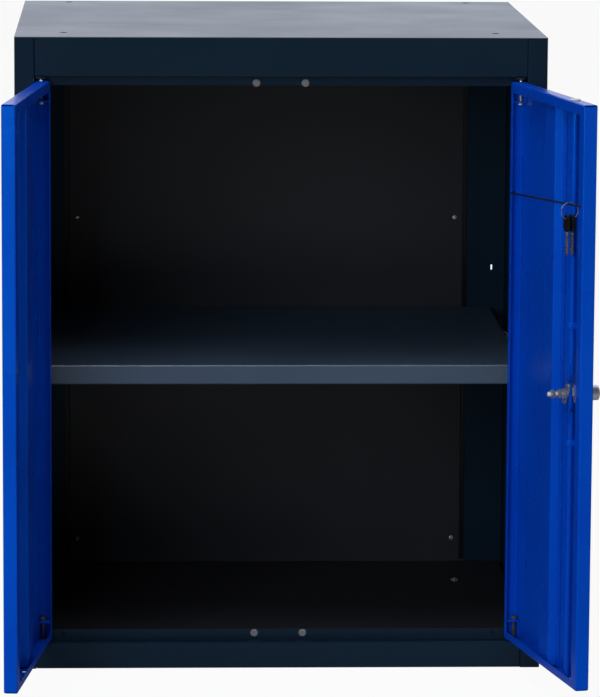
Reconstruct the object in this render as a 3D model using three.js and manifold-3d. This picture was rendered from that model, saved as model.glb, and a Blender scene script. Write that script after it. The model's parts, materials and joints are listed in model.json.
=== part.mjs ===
// Two-door steel side locker for a tool chest: a folded sheet carcass with one shelf,
// two pan doors on pivot pins, and a knob lock that drives an upper and a lower rod.
// Millimetres, +Z up. Y = 0 is the plane of the closed doors while the pieces are drawn,
// and the finished group is moved so that the origin lies under the front base rail.
import * as THREE from 'three';
import { mergeVertices } from 'three/addons/utils/BufferGeometryUtils.js';
import Module from 'manifold-3d';

const wasm = await Module();
wasm.setup();

// Carcass sizes
const WIDTH = 660;
const DEPTH = 584;
const HEIGHT = 797;
const GAUGE = 1.2;
const BEND = 2.4;
const TIGHT_BEND = GAUGE * 1.01;
const FIT = 0.3;
const CUT_OVER = 1;
const POST_WIDTH = 25;
const POST_DEPTH = 34;
const POST_LIP = 14;
const REAR_FLANGE = 53;
const EDGE_FLANGE = 16;
const BACK_FLANGE = 12;
const HEADER_HEIGHT = 49;
const PLINTH_HEIGHT = 34;
const BASE_FLANGE = 25;
const STOP_SETBACK = 19.5;
const STOP_DROP = 12.4;
const SILL_RISE = 12.6;
const FLOOR_HEIGHT = 18;

// Holes in the carcass
const TOP_HOLE_RADIUS = 5;
const TOP_HOLE_SIDE = 60;
const TOP_HOLE_FRONT = 67;
const TOP_HOLE_REAR = 21;
const BACK_SLOT = { fromSide: 18.5, height: 431, length: 7.5, width: 2.4 };
const SILL_HOLE_RADIUS = 2.5;
const SILL_HOLE_SIDE = 33;
const SILL_HOLE_HEIGHT = 41;
const DRAIN_SLOT = { across: -244, length: 12, width: 5 };

// Shelf and its supports
const SHELF_HEIGHT = 377;
const SHELF_SETBACK = 66;
const SHELF_REAR_GAP = 7.8;
const SHELF_SIDE_GAP = 19;
const SHELF_LIP = 25;
const SHELF_HEM = 12;
const SUPPORT_LENGTH = 40;
const SUPPORT_REACH = 33;
const SUPPORT_DROP = 27;
const SUPPORT_INSET = 26;

// Buffers and floor bolt
const BUMPER_RADIUS = 5;
const BUMPER_SPREAD = 61;
const BUMPER_DROP = 9;
const BUMPER_LIFT = 1;
const BUMPER_SHOULDER = 0.35;
const RIVET = {
  fromSide: 70, low: 50, high: 500, head: 3.4, rise: 1.5, crown: 2.3, shank: 1.6, bore: 0.9, depth: 1,
};
const FLOOR_BOLT = {
  fromSide: 75, back: 446, radius: 5.8, rise: 3, shank: 3, length: 12,
  rim: 1.2, domeRadius: 4, domeStart: 2.7,
};

// Doors
const DOOR_GAUGE = 1;
const DOOR_BEND = 2;
const DOOR_DEPTH = 16.8;
const DOOR_TOP_GAP = 5.8;
const DOOR_BOTTOM_GAP = 2.4;
const DOOR_HINGE_GAP = 1.8;
const DOOR_MEETING_GAP = 1.8;
const HINGE_LIP = 10;
const FREE_LIP = 18;
const TOP_LIP = 13;
const BOTTOM_LIP = 10;
const RIGHT_OPEN_DEGREES = 101.7;
const LEFT_OPEN_DEGREES = 96.9;
const PIVOT_INSET = 6;
const PIVOT_DEPTH = 5.5;
const DRIP_HOLE = { fromFree: 115, depth: 8, radius: 3 };

// Pivot hinges
const PIN_RADIUS = 2.2;
const PIN_NOSE_RADIUS = 1.3;
const PIN_HEAD_RADIUS = 4;
const PIN_HEAD_HEIGHT = 4;
const PIN_HEAD_CHAMFER = 1;
const PIN_REACH = 6;
const BUSH_WALL = 1.1;
const BUSH_FLANGE_RADIUS = 7.2;
const BUSH_FLANGE = 2.4;
const BUSH_TAIL = 2.5;
const BRACKET_GAUGE = 1.5;
const BRACKET_HEIGHT = 25;
const BRACKET_WIDTH = 15;
const BRACKET_FOOT_GAP = 3;

// Door stiffener
const HAT_HEIGHT = 10;
const HAT_TOP = 40;
const HAT_BASE = 46;
const HAT_FOOT = 13;
const HAT_END_GAP = 3;
const HAT_CLEARANCE = 5.15;

// Knob lock, measured from the door's outer face along its normal
const LOCK_INSET = 60;
const KNOB_RADIUS = 9.3;
const KNOB_LENGTH = 22.5;
const KNOB_CHAMFER = 2.2;
const KNOB_WAIST = { depth: 0.9, length: 6.8, slope: 1.3 };
const KEYWAY = { length: 9, width: 1.8, depth: 8 };
const COLLAR_RADIUS = 11.5;
const COLLAR_THICKNESS = 2.2;
const COLLAR_CHAMFER = 0.8;
const BARREL_RADIUS = 8;
const BARREL_END = 10;
const SPINDLE_RADIUS = 3;
const SPINDLE_END = 38.5;
const SPINDLE_CHAMFER = 0.8;
const LOCK_PLATE = { thickness: 1.5, freeSide: 32, hingeSide: 50, half: 49, chamfer: 22 };
const LOCK_NUT = { across: 22, thickness: 5 };
const CAM_SEAT = 14.2;
const CAM_THICKNESS = 2;
const CAM_RADIUS = 6.2;
const SPINDLE_NUTS = [
  { name: 'cam_nut', across: 11.5, seat: 16.5, thickness: 4.8 },
  { name: 'spacer_nut', across: 10, seat: 22, thickness: 4.6 },
  { name: 'end_nut', across: 9.5, seat: 30, thickness: 5 },
];

// Lock rods
const ROD_RADIUS = 3.5;
const ROD_DEPTH = 9;
const ROD_TRAVEL = 15;
const ROD_TIP = 1.5;
const ROD_CHAMFER = 1;
const ROD_SHAFT_START = 22;
const ROD_PLATE = { near: 11, far: 13.5, overlap: 14, half: 4.5, relief: 1.2 };
const HOOK_RADIUS = 1.75;
const HOOK_END = 16.35;
const HOOK_PLAY = 0.85;
const ROD_SLOT_LENGTH = 18;
const ROD_SLOT_WIDTH = 9;
const ROD_BUSH = { wall: 1, flange: 1.2, rise: 1.6, tail: 3 };
const ROD_GUIDE = { wall: 2, thickness: 8, above: 83, below: 60 };

// Keys on their cord
const CORD_RADIUS = 1;
const CORD_HINGE_HEIGHT = 604;
const CORD_FREE_HEIGHT = 622;
const CORD_STAND_OFF = 2;
const CORD_TAIL = 4;
const CORD_KNOT = 2.2;
const CORD_FACETS = 8;
const RING_FROM_FREE = 45;
const RING_RADIUS = 10.3;
const RING_WIRE = 1;
const KEY = {
  width: 18, height: 20, thickness: 4, topCorner: 8, lowCorner: 5, hole: 2.2, holeDrop: 5.3, spacing: 6.4,
  blade: 29, bladeWidth: 7, bladeThickness: 2, tongue: 8, tongueWidth: 6,
  cutDepths: [1, 2, 1, 2], cutSpread: 1.25,
};

// Facets
const BEND_STEPS = 3;
const ARC_STEPS = 8;
const ROUND_STEPS = 20;

// Places worked out from the sizes
const HALF = WIDTH / 2;
const OPENING_HALF = HALF - POST_WIDTH;
const HEADER_BOTTOM = HEIGHT - HEADER_HEIGHT;
const UNDER_TOP = HEIGHT - GAUGE - FIT;
const SIDE_INNER = HALF - GAUGE;
const SIDE_REAR = DEPTH - GAUGE - FIT;
const SHELF_BOTTOM = SHELF_HEIGHT - SHELF_LIP;
const DOOR_TOP = HEADER_BOTTOM - DOOR_TOP_GAP;
const DOOR_BOTTOM = PLINTH_HEIGHT + DOOR_BOTTOM_GAP;
const DOOR_WIDTH = OPENING_HALF - DOOR_HINGE_GAP - DOOR_MEETING_GAP / 2;
const PIVOT_ACROSS = OPENING_HALF - DOOR_HINGE_GAP - PIVOT_INSET;
const HINGE_EDGE = PIVOT_INSET;
const FREE_EDGE = PIVOT_INSET - DOOR_WIDTH;
const LOCK_ACROSS = FREE_EDGE + LOCK_INSET;
const LOCK_HEIGHT = (DOOR_TOP + DOOR_BOTTOM) / 2;
const ROD_ACROSS = PIVOT_ACROSS + LOCK_ACROSS;
const ROD_OFFSET = ROD_TRAVEL / 2;
const KEY_LOW = KEY.holeDrop - KEY.height;

// Paints and metals
function finish(color, roughness, metalness) {
  return new THREE.MeshStandardMaterial({ color, roughness, metalness });
}

const FINISHES = {
  anthracite: finish(0x1c2733, 0.45, 0.1),
  slate: finish(0x2b3846, 0.45, 0.1),
  blue: finish(0x0644c0, 0.4, 0.1),
  zinc: finish(0xc4c8cc, 0.32, 0.9),
  nylon: finish(0xe4e4de, 0.5, 0),
  rubber: finish(0x8f9296, 0.6, 0),
  keyHead: finish(0x121214, 0.5, 0),
  cord: finish(0x0c0c0d, 0.85, 0),
};

// Solids from geometry

function signedVolume(position, index) {
  const corners = [new THREE.Vector3(), new THREE.Vector3(), new THREE.Vector3()];
  let six = 0;
  for (let i = 0; i < index.length; i += 3) {
    corners.forEach((corner, k) => corner.fromArray(position, 3 * index[i + k]));
    six += corners[0].dot(corners[1].clone().cross(corners[2]));
  }
  return six / 6;
}

function solid(geometry) {
  geometry.deleteAttribute('normal');
  geometry.deleteAttribute('uv');
  const merged = mergeVertices(geometry, 1e-4);
  const position = merged.attributes.position.array;
  const triangles = [];
  for (let i = 0; i < merged.index.count; i += 3) {
    const [a, b, c] = [0, 1, 2].map((k) => merged.index.getX(i + k));
    if (a !== b && b !== c && c !== a) triangles.push(a, b, c);
  }
  if (signedVolume(position, triangles) < 0) triangles.reverse();
  const triVerts = new Uint32Array(triangles);
  const vertProperties = new Float32Array(position);
  return new wasm.Manifold(new wasm.Mesh({ numProp: 3, vertProperties, triVerts }));
}

function toGeometry(body) {
  const { vertProperties, triVerts } = body.getMesh();
  const geometry = new THREE.BufferGeometry();
  geometry.setAttribute('position', new THREE.BufferAttribute(new Float32Array(vertProperties), 3));
  geometry.setIndex(new THREE.BufferAttribute(new Uint32Array(triVerts), 1));
  geometry.computeVertexNormals();
  return geometry;
}

function piece(parent, name, material, body) {
  const mesh = new THREE.Mesh(toGeometry(body), FINISHES[material]);
  mesh.name = name;
  parent.add(mesh);
  return mesh;
}

const union = (bodies) => bodies.reduce((whole, body) => whole.add(body));
const cut = (body, tools) => tools.reduce((rest, tool) => rest.subtract(tool), body);

// A section is drawn in the two axes that are left over: (y, z) along x, (x, z) along y, (x, y) along z.
const UNIT = {
  x: new THREE.Vector3(1, 0, 0),
  y: new THREE.Vector3(0, 1, 0),
  z: new THREE.Vector3(0, 0, 1),
};
const SECTION_AXES = {
  x: [UNIT.y, UNIT.z, UNIT.x],
  y: [UNIT.x, UNIT.z, UNIT.y.clone().negate()],
  z: [UNIT.x, UNIT.y, UNIT.z],
};

function prism(axis, shape, from, to) {
  const low = Math.min(from, to);
  const high = Math.max(from, to);
  const options = { depth: high - low, bevelEnabled: false, curveSegments: ARC_STEPS };
  const geometry = new THREE.ExtrudeGeometry(shape, options);
  geometry.translate(0, 0, axis === 'y' ? -high : low);
  geometry.applyMatrix4(new THREE.Matrix4().makeBasis(...SECTION_AXES[axis]));
  return solid(geometry);
}

function block([x0, x1], [y0, y1], [z0, z1]) {
  const geometry = new THREE.BoxGeometry(Math.abs(x1 - x0), Math.abs(y1 - y0), Math.abs(z1 - z0));
  geometry.translate((x0 + x1) / 2, (y0 + y1) / 2, (z0 + z1) / 2);
  return solid(geometry);
}

function outline(points) {
  return new THREE.Shape(points.map(([a, b]) => new THREE.Vector2(a, b)));
}

function disc(a, b, radius) {
  const shape = new THREE.Shape();
  shape.absarc(a, b, radius, 0, 2 * Math.PI, false);
  return shape;
}

// A slot with round ends, its length along the section's first axis.
function slot(a, b, length, width) {
  const reach = (length - width) / 2;
  const shape = new THREE.Shape();
  shape.absarc(a + reach, b, width / 2, -Math.PI / 2, Math.PI / 2, false);
  shape.absarc(a - reach, b, width / 2, Math.PI / 2, 1.5 * Math.PI, false);
  shape.closePath();
  return shape;
}

// The same slot with its length along the section's second axis.
function uprightSlot(a, b, length, width) {
  const reach = (length - width) / 2;
  const shape = new THREE.Shape();
  shape.absarc(a, b + reach, width / 2, 0, Math.PI, false);
  shape.absarc(a, b - reach, width / 2, Math.PI, 2 * Math.PI, false);
  shape.closePath();
  return shape;
}

function hexagon(across) {
  const corner = across / Math.sqrt(3);
  const points = [];
  for (let i = 0; i < 6; i += 1) {
    const angle = (i * Math.PI) / 3;
    points.push([corner * Math.cos(angle), corner * Math.sin(angle)]);
  }
  return outline(points);
}

// A turned piece about Z or Y from a profile of [radius, height] points.
function turned(axis, profile) {
  const points = profile.map(([radius, height]) => new THREE.Vector2(radius, height));
  const geometry = new THREE.LatheGeometry(points, ROUND_STEPS);
  if (axis === 'z') geometry.rotateX(Math.PI / 2);
  return solid(geometry);
}

const ringProfile = (points) => [...points, points[0]];

// Folded sheet: the path follows the shown face and the sheet lies on the right hand of travel.

function rounded(points, radii) {
  const result = [points[0]];
  for (let i = 1; i < points.length - 1; i += 1) {
    const before = points[i].clone().sub(points[i - 1]).normalize();
    const after = points[i + 1].clone().sub(points[i]).normalize();
    const turn = Math.atan2(before.cross(after), before.dot(after));
    const tangent = radii[i] * Math.tan(Math.abs(turn) / 2);
    const start = points[i].clone().addScaledVector(before, -tangent);
    const side = Math.sign(turn);
    const centre = start.clone().add(new THREE.Vector2(-before.y, before.x).multiplyScalar(side * radii[i]));
    for (let step = 0; step <= BEND_STEPS; step += 1) {
      result.push(start.clone().rotateAround(centre, (turn * step) / BEND_STEPS));
    }
  }
  result.push(points[points.length - 1]);
  return result;
}

function foldedSection(path, gauge, bend, mirror = 1) {
  const shown = path.map(([a, b]) => new THREE.Vector2(a, b));
  const last = shown.length - 1;
  const rights = [];
  for (let i = 0; i < last; i += 1) {
    const along = shown[i + 1].clone().sub(shown[i]).normalize();
    rights.push(new THREE.Vector2(along.y, -along.x));
  }
  const hidden = shown.map((point, i) => {
    const before = rights[Math.max(i - 1, 0)];
    const after = rights[Math.min(i, last - 1)];
    const mitre = before.clone().add(after).divideScalar(1 + before.dot(after));
    return point.clone().addScaledVector(mitre, gauge);
  });
  const clockwise = shown.map((point, i) => (
    i > 0 && i < last && rights[i - 1].cross(rights[i]) < 0
  ));
  const shownRadii = clockwise.map((yes) => (yes ? bend : bend - gauge));
  const hiddenRadii = clockwise.map((yes) => (yes ? bend - gauge : bend));
  const loop = [...rounded(shown, shownRadii), ...rounded(hidden, hiddenRadii).reverse()];
  return outline(loop.map((point) => [mirror * point.x, point.y]));
}

// Carcass

const SIDES = [{ name: 'left', sign: -1 }, { name: 'right', sign: 1 }];

function rodSlots(from, to) {
  return SIDES.map(({ sign }) => (
    prism('z', slot(sign * ROD_ACROSS, ROD_DEPTH, ROD_SLOT_LENGTH, ROD_SLOT_WIDTH), from, to)
  ));
}

function pivotHoles(from, to) {
  const radius = PIN_RADIUS + FIT + BUSH_WALL + FIT;
  return SIDES.map(({ sign }) => prism('z', disc(sign * PIVOT_ACROSS, PIVOT_DEPTH, radius), from, to));
}

function topPanel() {
  const path = [
    [STOP_SETBACK, HEADER_BOTTOM - STOP_DROP],
    [STOP_SETBACK, HEADER_BOTTOM],
    [0, HEADER_BOTTOM],
    [0, HEIGHT],
    [DEPTH, HEIGHT],
  ];
  const sheet = prism('x', foldedSection(path, GAUGE, BEND), -HALF, HALF);
  const postRoom = SIDES.map(({ sign }) => block(
    [sign * (OPENING_HALF - FIT), sign * (HALF + CUT_OVER)],
    [-CUT_OVER, POST_DEPTH + FIT],
    [HEADER_BOTTOM - STOP_DROP - CUT_OVER, HEIGHT - GAUGE],
  ));
  const holes = [];
  for (const { sign } of SIDES) {
    for (const back of [TOP_HOLE_FRONT, DEPTH - TOP_HOLE_REAR]) {
      const hole = disc(sign * (HALF - TOP_HOLE_SIDE), back, TOP_HOLE_RADIUS);
      holes.push(prism('z', hole, HEIGHT - 2 * GAUGE, HEIGHT + CUT_OVER));
    }
  }
  const through = [HEADER_BOTTOM - CUT_OVER, HEADER_BOTTOM + 2 * GAUGE];
  return cut(sheet, [...postRoom, ...holes, ...rodSlots(...through), ...pivotHoles(...through)]);
}

function sidePanel(sign) {
  const path = [
    [OPENING_HALF + POST_LIP, POST_DEPTH],
    [OPENING_HALF, POST_DEPTH],
    [OPENING_HALF, 0],
    [HALF, 0],
    [HALF, SIDE_REAR],
    [HALF - REAR_FLANGE, SIDE_REAR],
  ].reverse();
  const wall = prism('z', foldedSection(path, GAUGE, BEND, sign), 0, UNDER_TOP);
  const flangeRun = [POST_DEPTH + 2 * BEND, SIDE_REAR - BACK_FLANGE - BEND];
  const upper = [[HALF - EDGE_FLANGE, UNDER_TOP], [HALF, UNDER_TOP], [HALF, UNDER_TOP - EDGE_FLANGE]];
  const lower = [[HALF, EDGE_FLANGE], [HALF, 0], [HALF - EDGE_FLANGE, 0]];
  const flanges = [upper, lower].map((edge) => (
    prism('y', foldedSection(edge, GAUGE, TIGHT_BEND, sign), ...flangeRun)
  ));
  const body = union([wall, ...flanges]);
  return sign > 0 ? body.subtract(hangSlot()) : body;
}

// One upright slot runs through the right rear flange and the back panel behind it.
function hangSlot() {
  const { fromSide, height, length, width } = BACK_SLOT;
  const shape = uprightSlot(HALF - fromSide, height, length, width);
  return prism('y', shape, SIDE_REAR - 2 * GAUGE, DEPTH + CUT_OVER);
}

function backPanel() {
  const path = [
    [DEPTH - BACK_FLANGE, UNDER_TOP],
    [DEPTH, UNDER_TOP],
    [DEPTH, 0],
    [DEPTH - BACK_FLANGE, 0],
  ];
  const sheet = prism('x', foldedSection(path, GAUGE, BEND), -HALF + FIT, HALF - FIT);
  const sideRoom = SIDES.map(({ sign }) => block(
    [sign * (HALF - REAR_FLANGE - FIT), sign * (HALF + CUT_OVER)],
    [DEPTH - BACK_FLANGE - CUT_OVER, SIDE_REAR + FIT],
    [-CUT_OVER, HEIGHT],
  ));
  const through = [SIDE_REAR, DEPTH + CUT_OVER];
  const holes = [];
  for (const { sign } of SIDES) {
    for (const height of [RIVET.low, RIVET.high]) {
      holes.push(prism('y', disc(sign * (HALF - RIVET.fromSide), height, RIVET.shank + FIT), ...through));
    }
  }
  return cut(sheet, [...sideRoom, ...holes, hangSlot()]);
}

function floorPanel() {
  const half = SIDE_INNER - GAUGE - FIT;
  const front = STOP_SETBACK + GAUGE + FIT;
  const rear = SIDE_REAR - GAUGE - FIT;
  const foot = GAUGE + FIT;
  const path = [[front, foot], [front, FLOOR_HEIGHT], [rear, FLOOR_HEIGHT], [rear, foot]];
  const deck = prism('x', foldedSection(path, GAUGE, BEND), -half, half);
  const edge = [[half - EDGE_FLANGE, FLOOR_HEIGHT], [half, FLOOR_HEIGHT], [half, foot]];
  const sides = SIDES.map(({ sign }) => (
    prism('y', foldedSection(edge, GAUGE, BEND, sign), front + BEND, rear - BEND)
  ));
  const postRoom = SIDES.map(({ sign }) => block(
    [sign * (OPENING_HALF - FIT), sign * HALF],
    [front - CUT_OVER, POST_DEPTH + FIT],
    [-CUT_OVER, FLOOR_HEIGHT + CUT_OVER],
  ));
  const sharpEdges = SIDES.map(({ sign }) => block(
    [sign * (half - BEND), sign * HALF],
    [front - CUT_OVER, DEPTH],
    [FLOOR_HEIGHT - BEND, FLOOR_HEIGHT + CUT_OVER],
  ));
  const bolt = disc(HALF - FLOOR_BOLT.fromSide, FLOOR_BOLT.back, FLOOR_BOLT.shank + FIT);
  const boltHole = prism('z', bolt, FLOOR_HEIGHT - 2 * GAUGE, FLOOR_HEIGHT + CUT_OVER);
  return union([cut(deck, sharpEdges), ...sides]).subtract(union(postRoom)).subtract(boltHole);
}

function baseRail() {
  const path = [
    [BASE_FLANGE, 0],
    [0, 0],
    [0, PLINTH_HEIGHT],
    [STOP_SETBACK, PLINTH_HEIGHT],
    [STOP_SETBACK, PLINTH_HEIGHT + SILL_RISE],
  ];
  const half = OPENING_HALF - FIT;
  const sheet = prism('x', foldedSection(path, GAUGE, BEND), -half, half);
  const ledge = [PLINTH_HEIGHT - 2 * GAUGE, PLINTH_HEIGHT + CUT_OVER];
  const drain = slot(DRAIN_SLOT.across, ROD_DEPTH, DRAIN_SLOT.length, DRAIN_SLOT.width);
  const screwHoles = SIDES.map(({ sign }) => {
    const hole = disc(sign * (OPENING_HALF - SILL_HOLE_SIDE), SILL_HOLE_HEIGHT, SILL_HOLE_RADIUS);
    return prism('y', hole, STOP_SETBACK - CUT_OVER, STOP_SETBACK + 2 * GAUGE);
  });
  const drainCut = prism('z', drain, ...ledge);
  return cut(sheet, [...rodSlots(...ledge), ...pivotHoles(...ledge), drainCut, ...screwHoles]);
}

function shelf() {
  const half = SIDE_INNER - SHELF_SIDE_GAP;
  const rear = DEPTH - GAUGE - SHELF_REAR_GAP;
  const path = [
    [SHELF_SETBACK + SHELF_HEM, SHELF_BOTTOM],
    [SHELF_SETBACK, SHELF_BOTTOM],
    [SHELF_SETBACK, SHELF_HEIGHT],
    [rear, SHELF_HEIGHT],
    [rear, SHELF_BOTTOM],
  ];
  const deck = prism('x', foldedSection(path, GAUGE, BEND), -half, half);
  const sideRun = [SHELF_SETBACK + BEND, rear - BEND];
  const softEdges = SIDES.map(({ sign }) => block(
    [sign * (half - BEND), sign * (half + CUT_OVER)],
    sideRun,
    [SHELF_HEIGHT - BEND, SHELF_HEIGHT + CUT_OVER],
  ));
  const edge = [[half - EDGE_FLANGE, SHELF_HEIGHT], [half, SHELF_HEIGHT], [half, SHELF_BOTTOM]];
  const sides = SIDES.map(({ sign }) => prism('y', foldedSection(edge, GAUGE, BEND, sign), ...sideRun));
  return union([cut(deck, softEdges), ...sides]);
}

function shelfSupport(sign, front) {
  const top = SHELF_BOTTOM - FIT;
  const wall = SIDE_INNER - FIT;
  const path = [[wall - SUPPORT_REACH, top], [wall, top], [wall, top - SUPPORT_DROP]];
  return prism('y', foldedSection(path, GAUGE, BEND, sign), front, front + SUPPORT_LENGTH);
}

function bumper() {
  const height = STOP_SETBACK - DOOR_DEPTH - 2 * FIT;
  const shoulder = height * BUMPER_SHOULDER;
  const profile = [[0, 0], [BUMPER_RADIUS, 0], [BUMPER_RADIUS, -shoulder]];
  for (let step = 1; step <= BEND_STEPS + 1; step += 1) {
    const angle = (step / (BEND_STEPS + 1)) * (Math.PI / 2);
    const radius = step > BEND_STEPS ? 0 : BUMPER_RADIUS * Math.cos(angle);
    profile.push([radius, -shoulder - (height - shoulder) * Math.sin(angle)]);
  }
  return turned('y', profile);
}

// A blind rivet, its domed head inside the locker and its shank flush with the back.
function rivet() {
  const { head, rise, crown, shank, bore, depth } = RIVET;
  const seat = -GAUGE - FIT;
  return turned('y', [
    [0, 0],
    [shank, 0],
    [shank, seat],
    [head, seat],
    [crown, seat - rise],
    [bore, seat - rise],
    [bore, seat - rise + depth],
    [0, seat - rise + depth],
  ]);
}

// The bush stands in the ledge and carries the door; the upper one is the same piece turned over.
function pivotBush(gap) {
  const bore = PIN_RADIUS + FIT;
  const sleeve = bore + BUSH_WALL;
  const flangeTop = Math.min(FIT + BUSH_FLANGE, gap - FIT);
  return turned('z', ringProfile([
    [bore, -GAUGE - BUSH_TAIL],
    [sleeve, -GAUGE - BUSH_TAIL],
    [sleeve, FIT],
    [BUSH_FLANGE_RADIUS, FIT],
    [BUSH_FLANGE_RADIUS, flangeTop],
    [bore, flangeTop],
  ]));
}

function floorBolt() {
  const { radius, rise, shank, length, rim, domeRadius, domeStart } = FLOOR_BOLT;
  return turned('z', [
    [0, -length],
    [shank, -length],
    [shank, FIT],
    [radius, FIT],
    [radius, FIT + rim],
    [domeRadius, FIT + domeStart],
    [0, FIT + rise],
  ]);
}

// Doors, drawn closed about the pivot axis, with x mirrored for the left one

const SKIN_BACK = DOOR_GAUGE + FIT - PIVOT_DEPTH;
const FACE = -PIVOT_DEPTH;
const INNER = DOOR_DEPTH - PIVOT_DEPTH;
const ROD_Y = ROD_DEPTH - PIVOT_DEPTH;
const CORD_Y = INNER + CORD_STAND_OFF;

const cordHoles = () => [
  [HINGE_EDGE - HINGE_LIP / 2, CORD_HINGE_HEIGHT],
  [FREE_EDGE + FREE_LIP / 2, CORD_FREE_HEIGHT],
];

function doorPan(sign) {
  const section = [
    [HINGE_EDGE - HINGE_LIP, INNER],
    [HINGE_EDGE, INNER],
    [HINGE_EDGE, FACE],
    [FREE_EDGE, FACE],
    [FREE_EDGE, INNER],
    [FREE_EDGE + FREE_LIP, INNER],
  ];
  const upright = foldedSection(section, DOOR_GAUGE, DOOR_BEND, sign);
  const pan = prism('z', upright, DOOR_BOTTOM + DOOR_BEND, DOOR_TOP - DOOR_BEND);
  const lap = 3 * DOOR_BEND;
  const topPath = [
    [FACE, DOOR_TOP - lap],
    [FACE, DOOR_TOP],
    [INNER, DOOR_TOP],
    [INNER, DOOR_TOP - TOP_LIP],
  ];
  const bottomPath = [
    [INNER, DOOR_BOTTOM + BOTTOM_LIP],
    [INNER, DOOR_BOTTOM],
    [FACE, DOOR_BOTTOM],
    [FACE, DOOR_BOTTOM + lap],
  ];
  const run = [sign * (FREE_EDGE + DOOR_BEND), sign * (HINGE_EDGE - DOOR_BEND)];
  const rims = [topPath, bottomPath].map((path) => (
    prism('x', foldedSection(path, DOOR_GAUGE, DOOR_BEND), ...run)
  ));
  const everyHeight = [DOOR_BOTTOM - CUT_OVER, DOOR_TOP + CUT_OVER];
  const pinHole = prism('z', disc(0, 0, PIN_RADIUS + FIT), ...everyHeight);
  const drip = disc(sign * (FREE_EDGE + DRIP_HOLE.fromFree), DRIP_HOLE.depth - PIVOT_DEPTH, DRIP_HOLE.radius);
  const dripHole = prism('z', drip, DOOR_BOTTOM - CUT_OVER, DOOR_BOTTOM + 2 * DOOR_GAUGE);
  return cut(union([pan, ...rims]), [pinHole, dripHole]);
}

function lockedDoorPan() {
  const skin = [FACE - CUT_OVER, FACE + 2 * DOOR_GAUGE];
  const barrelHole = prism('y', disc(LOCK_ACROSS, LOCK_HEIGHT, BARREL_RADIUS + FIT), ...skin);
  const bushRadius = ROD_RADIUS + 2 * FIT + ROD_BUSH.wall;
  const rodHoles = [DOOR_BOTTOM, DOOR_TOP].map((height) => (
    prism('z', disc(LOCK_ACROSS, ROD_Y, bushRadius), height - 2 * DOOR_GAUGE, height + 2 * DOOR_GAUGE)
  ));
  const lipHoles = cordHoles().map(([across, height]) => (
    prism('y', disc(across, height, CORD_RADIUS + FIT), INNER - 2 * DOOR_GAUGE, INNER + CUT_OVER)
  ));
  return cut(doorPan(1), [barrelHole, ...rodHoles, ...lipHoles]);
}

// The stiffener stands clear of the lock plate, and both doors have it at the same place.
function hatStiffener(sign) {
  const plateEdge = LOCK_ACROSS + LOCK_PLATE.hingeSide;
  const middle = plateEdge + HAT_CLEARANCE + HAT_FOOT + HAT_BASE / 2;
  const foot = SKIN_BACK + DOOR_GAUGE;
  const crown = SKIN_BACK + HAT_HEIGHT;
  const path = [
    [middle - HAT_BASE / 2 - HAT_FOOT, foot],
    [middle - HAT_BASE / 2, foot],
    [middle - HAT_TOP / 2, crown],
    [middle + HAT_TOP / 2, crown],
    [middle + HAT_BASE / 2, foot],
    [middle + HAT_BASE / 2 + HAT_FOOT, foot],
  ];
  const section = foldedSection(path, DOOR_GAUGE, DOOR_BEND, sign);
  return prism('z', section, DOOR_BOTTOM + HAT_END_GAP, DOOR_TOP - HAT_END_GAP);
}

// The foot stands towards the door's end and the tab, away from it, steadies the pin.
function hingeBracket(sign, end, away) {
  const tab = end + away * BRACKET_HEIGHT;
  const path = [
    [SKIN_BACK, end + away * BRACKET_FOOT_GAP],
    [SKIN_BACK, tab],
    [INNER - DOOR_GAUGE - FIT, tab],
  ];
  const section = foldedSection(away > 0 ? path : path.reverse(), BRACKET_GAUGE, DOOR_BEND);
  const hingeSide = HINGE_EDGE - DOOR_BEND - FIT;
  const strip = prism('x', section, sign * (hingeSide - BRACKET_WIDTH), sign * hingeSide);
  const hole = prism('z', disc(0, 0, PIN_RADIUS + FIT), tab - 2 * BRACKET_GAUGE, tab + 2 * BRACKET_GAUGE);
  return strip.subtract(hole);
}

// A pin drawn upwards from its free end, its head standing on the bracket's tab.
function pivotPin(length) {
  return turned('z', [
    [0, 0],
    [PIN_NOSE_RADIUS, 0],
    [PIN_RADIUS, PIN_RADIUS - PIN_NOSE_RADIUS],
    [PIN_RADIUS, length],
    [PIN_HEAD_RADIUS, length],
    [PIN_HEAD_RADIUS, length + PIN_HEAD_HEIGHT - PIN_HEAD_CHAMFER],
    [PIN_HEAD_RADIUS - PIN_HEAD_CHAMFER, length + PIN_HEAD_HEIGHT],
    [0, length + PIN_HEAD_HEIGHT],
  ]);
}

// Lock, drawn about its own axis with y measured from the door's outer face

function lockHousing() {
  const bore = SPINDLE_RADIUS + FIT;
  return turned('y', ringProfile([
    [bore, -COLLAR_THICKNESS - FIT],
    [COLLAR_RADIUS - COLLAR_CHAMFER, -COLLAR_THICKNESS - FIT],
    [COLLAR_RADIUS, -COLLAR_THICKNESS - FIT + COLLAR_CHAMFER],
    [COLLAR_RADIUS, -FIT],
    [BARREL_RADIUS, -FIT],
    [BARREL_RADIUS, BARREL_END],
    [bore, BARREL_END],
  ]));
}

function lockKnob() {
  const back = -COLLAR_THICKNESS - 2 * FIT;
  const front = back - KNOB_LENGTH;
  const waist = KNOB_RADIUS - KNOB_WAIST.depth;
  const shoulder = back - KNOB_WAIST.length;
  const body = turned('y', [
    [0, SPINDLE_END],
    [SPINDLE_RADIUS - SPINDLE_CHAMFER, SPINDLE_END],
    [SPINDLE_RADIUS, SPINDLE_END - SPINDLE_CHAMFER],
    [SPINDLE_RADIUS, back],
    [waist, back],
    [waist, shoulder],
    [KNOB_RADIUS, shoulder - KNOB_WAIST.slope],
    [KNOB_RADIUS, front + KNOB_CHAMFER],
    [KNOB_RADIUS - KNOB_CHAMFER, front],
    [0, front],
  ]);
  const keyway = slot(0, 0, KEYWAY.length, KEYWAY.width);
  return body.subtract(prism('y', keyway, front - CUT_OVER, front + KEYWAY.depth));
}

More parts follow.
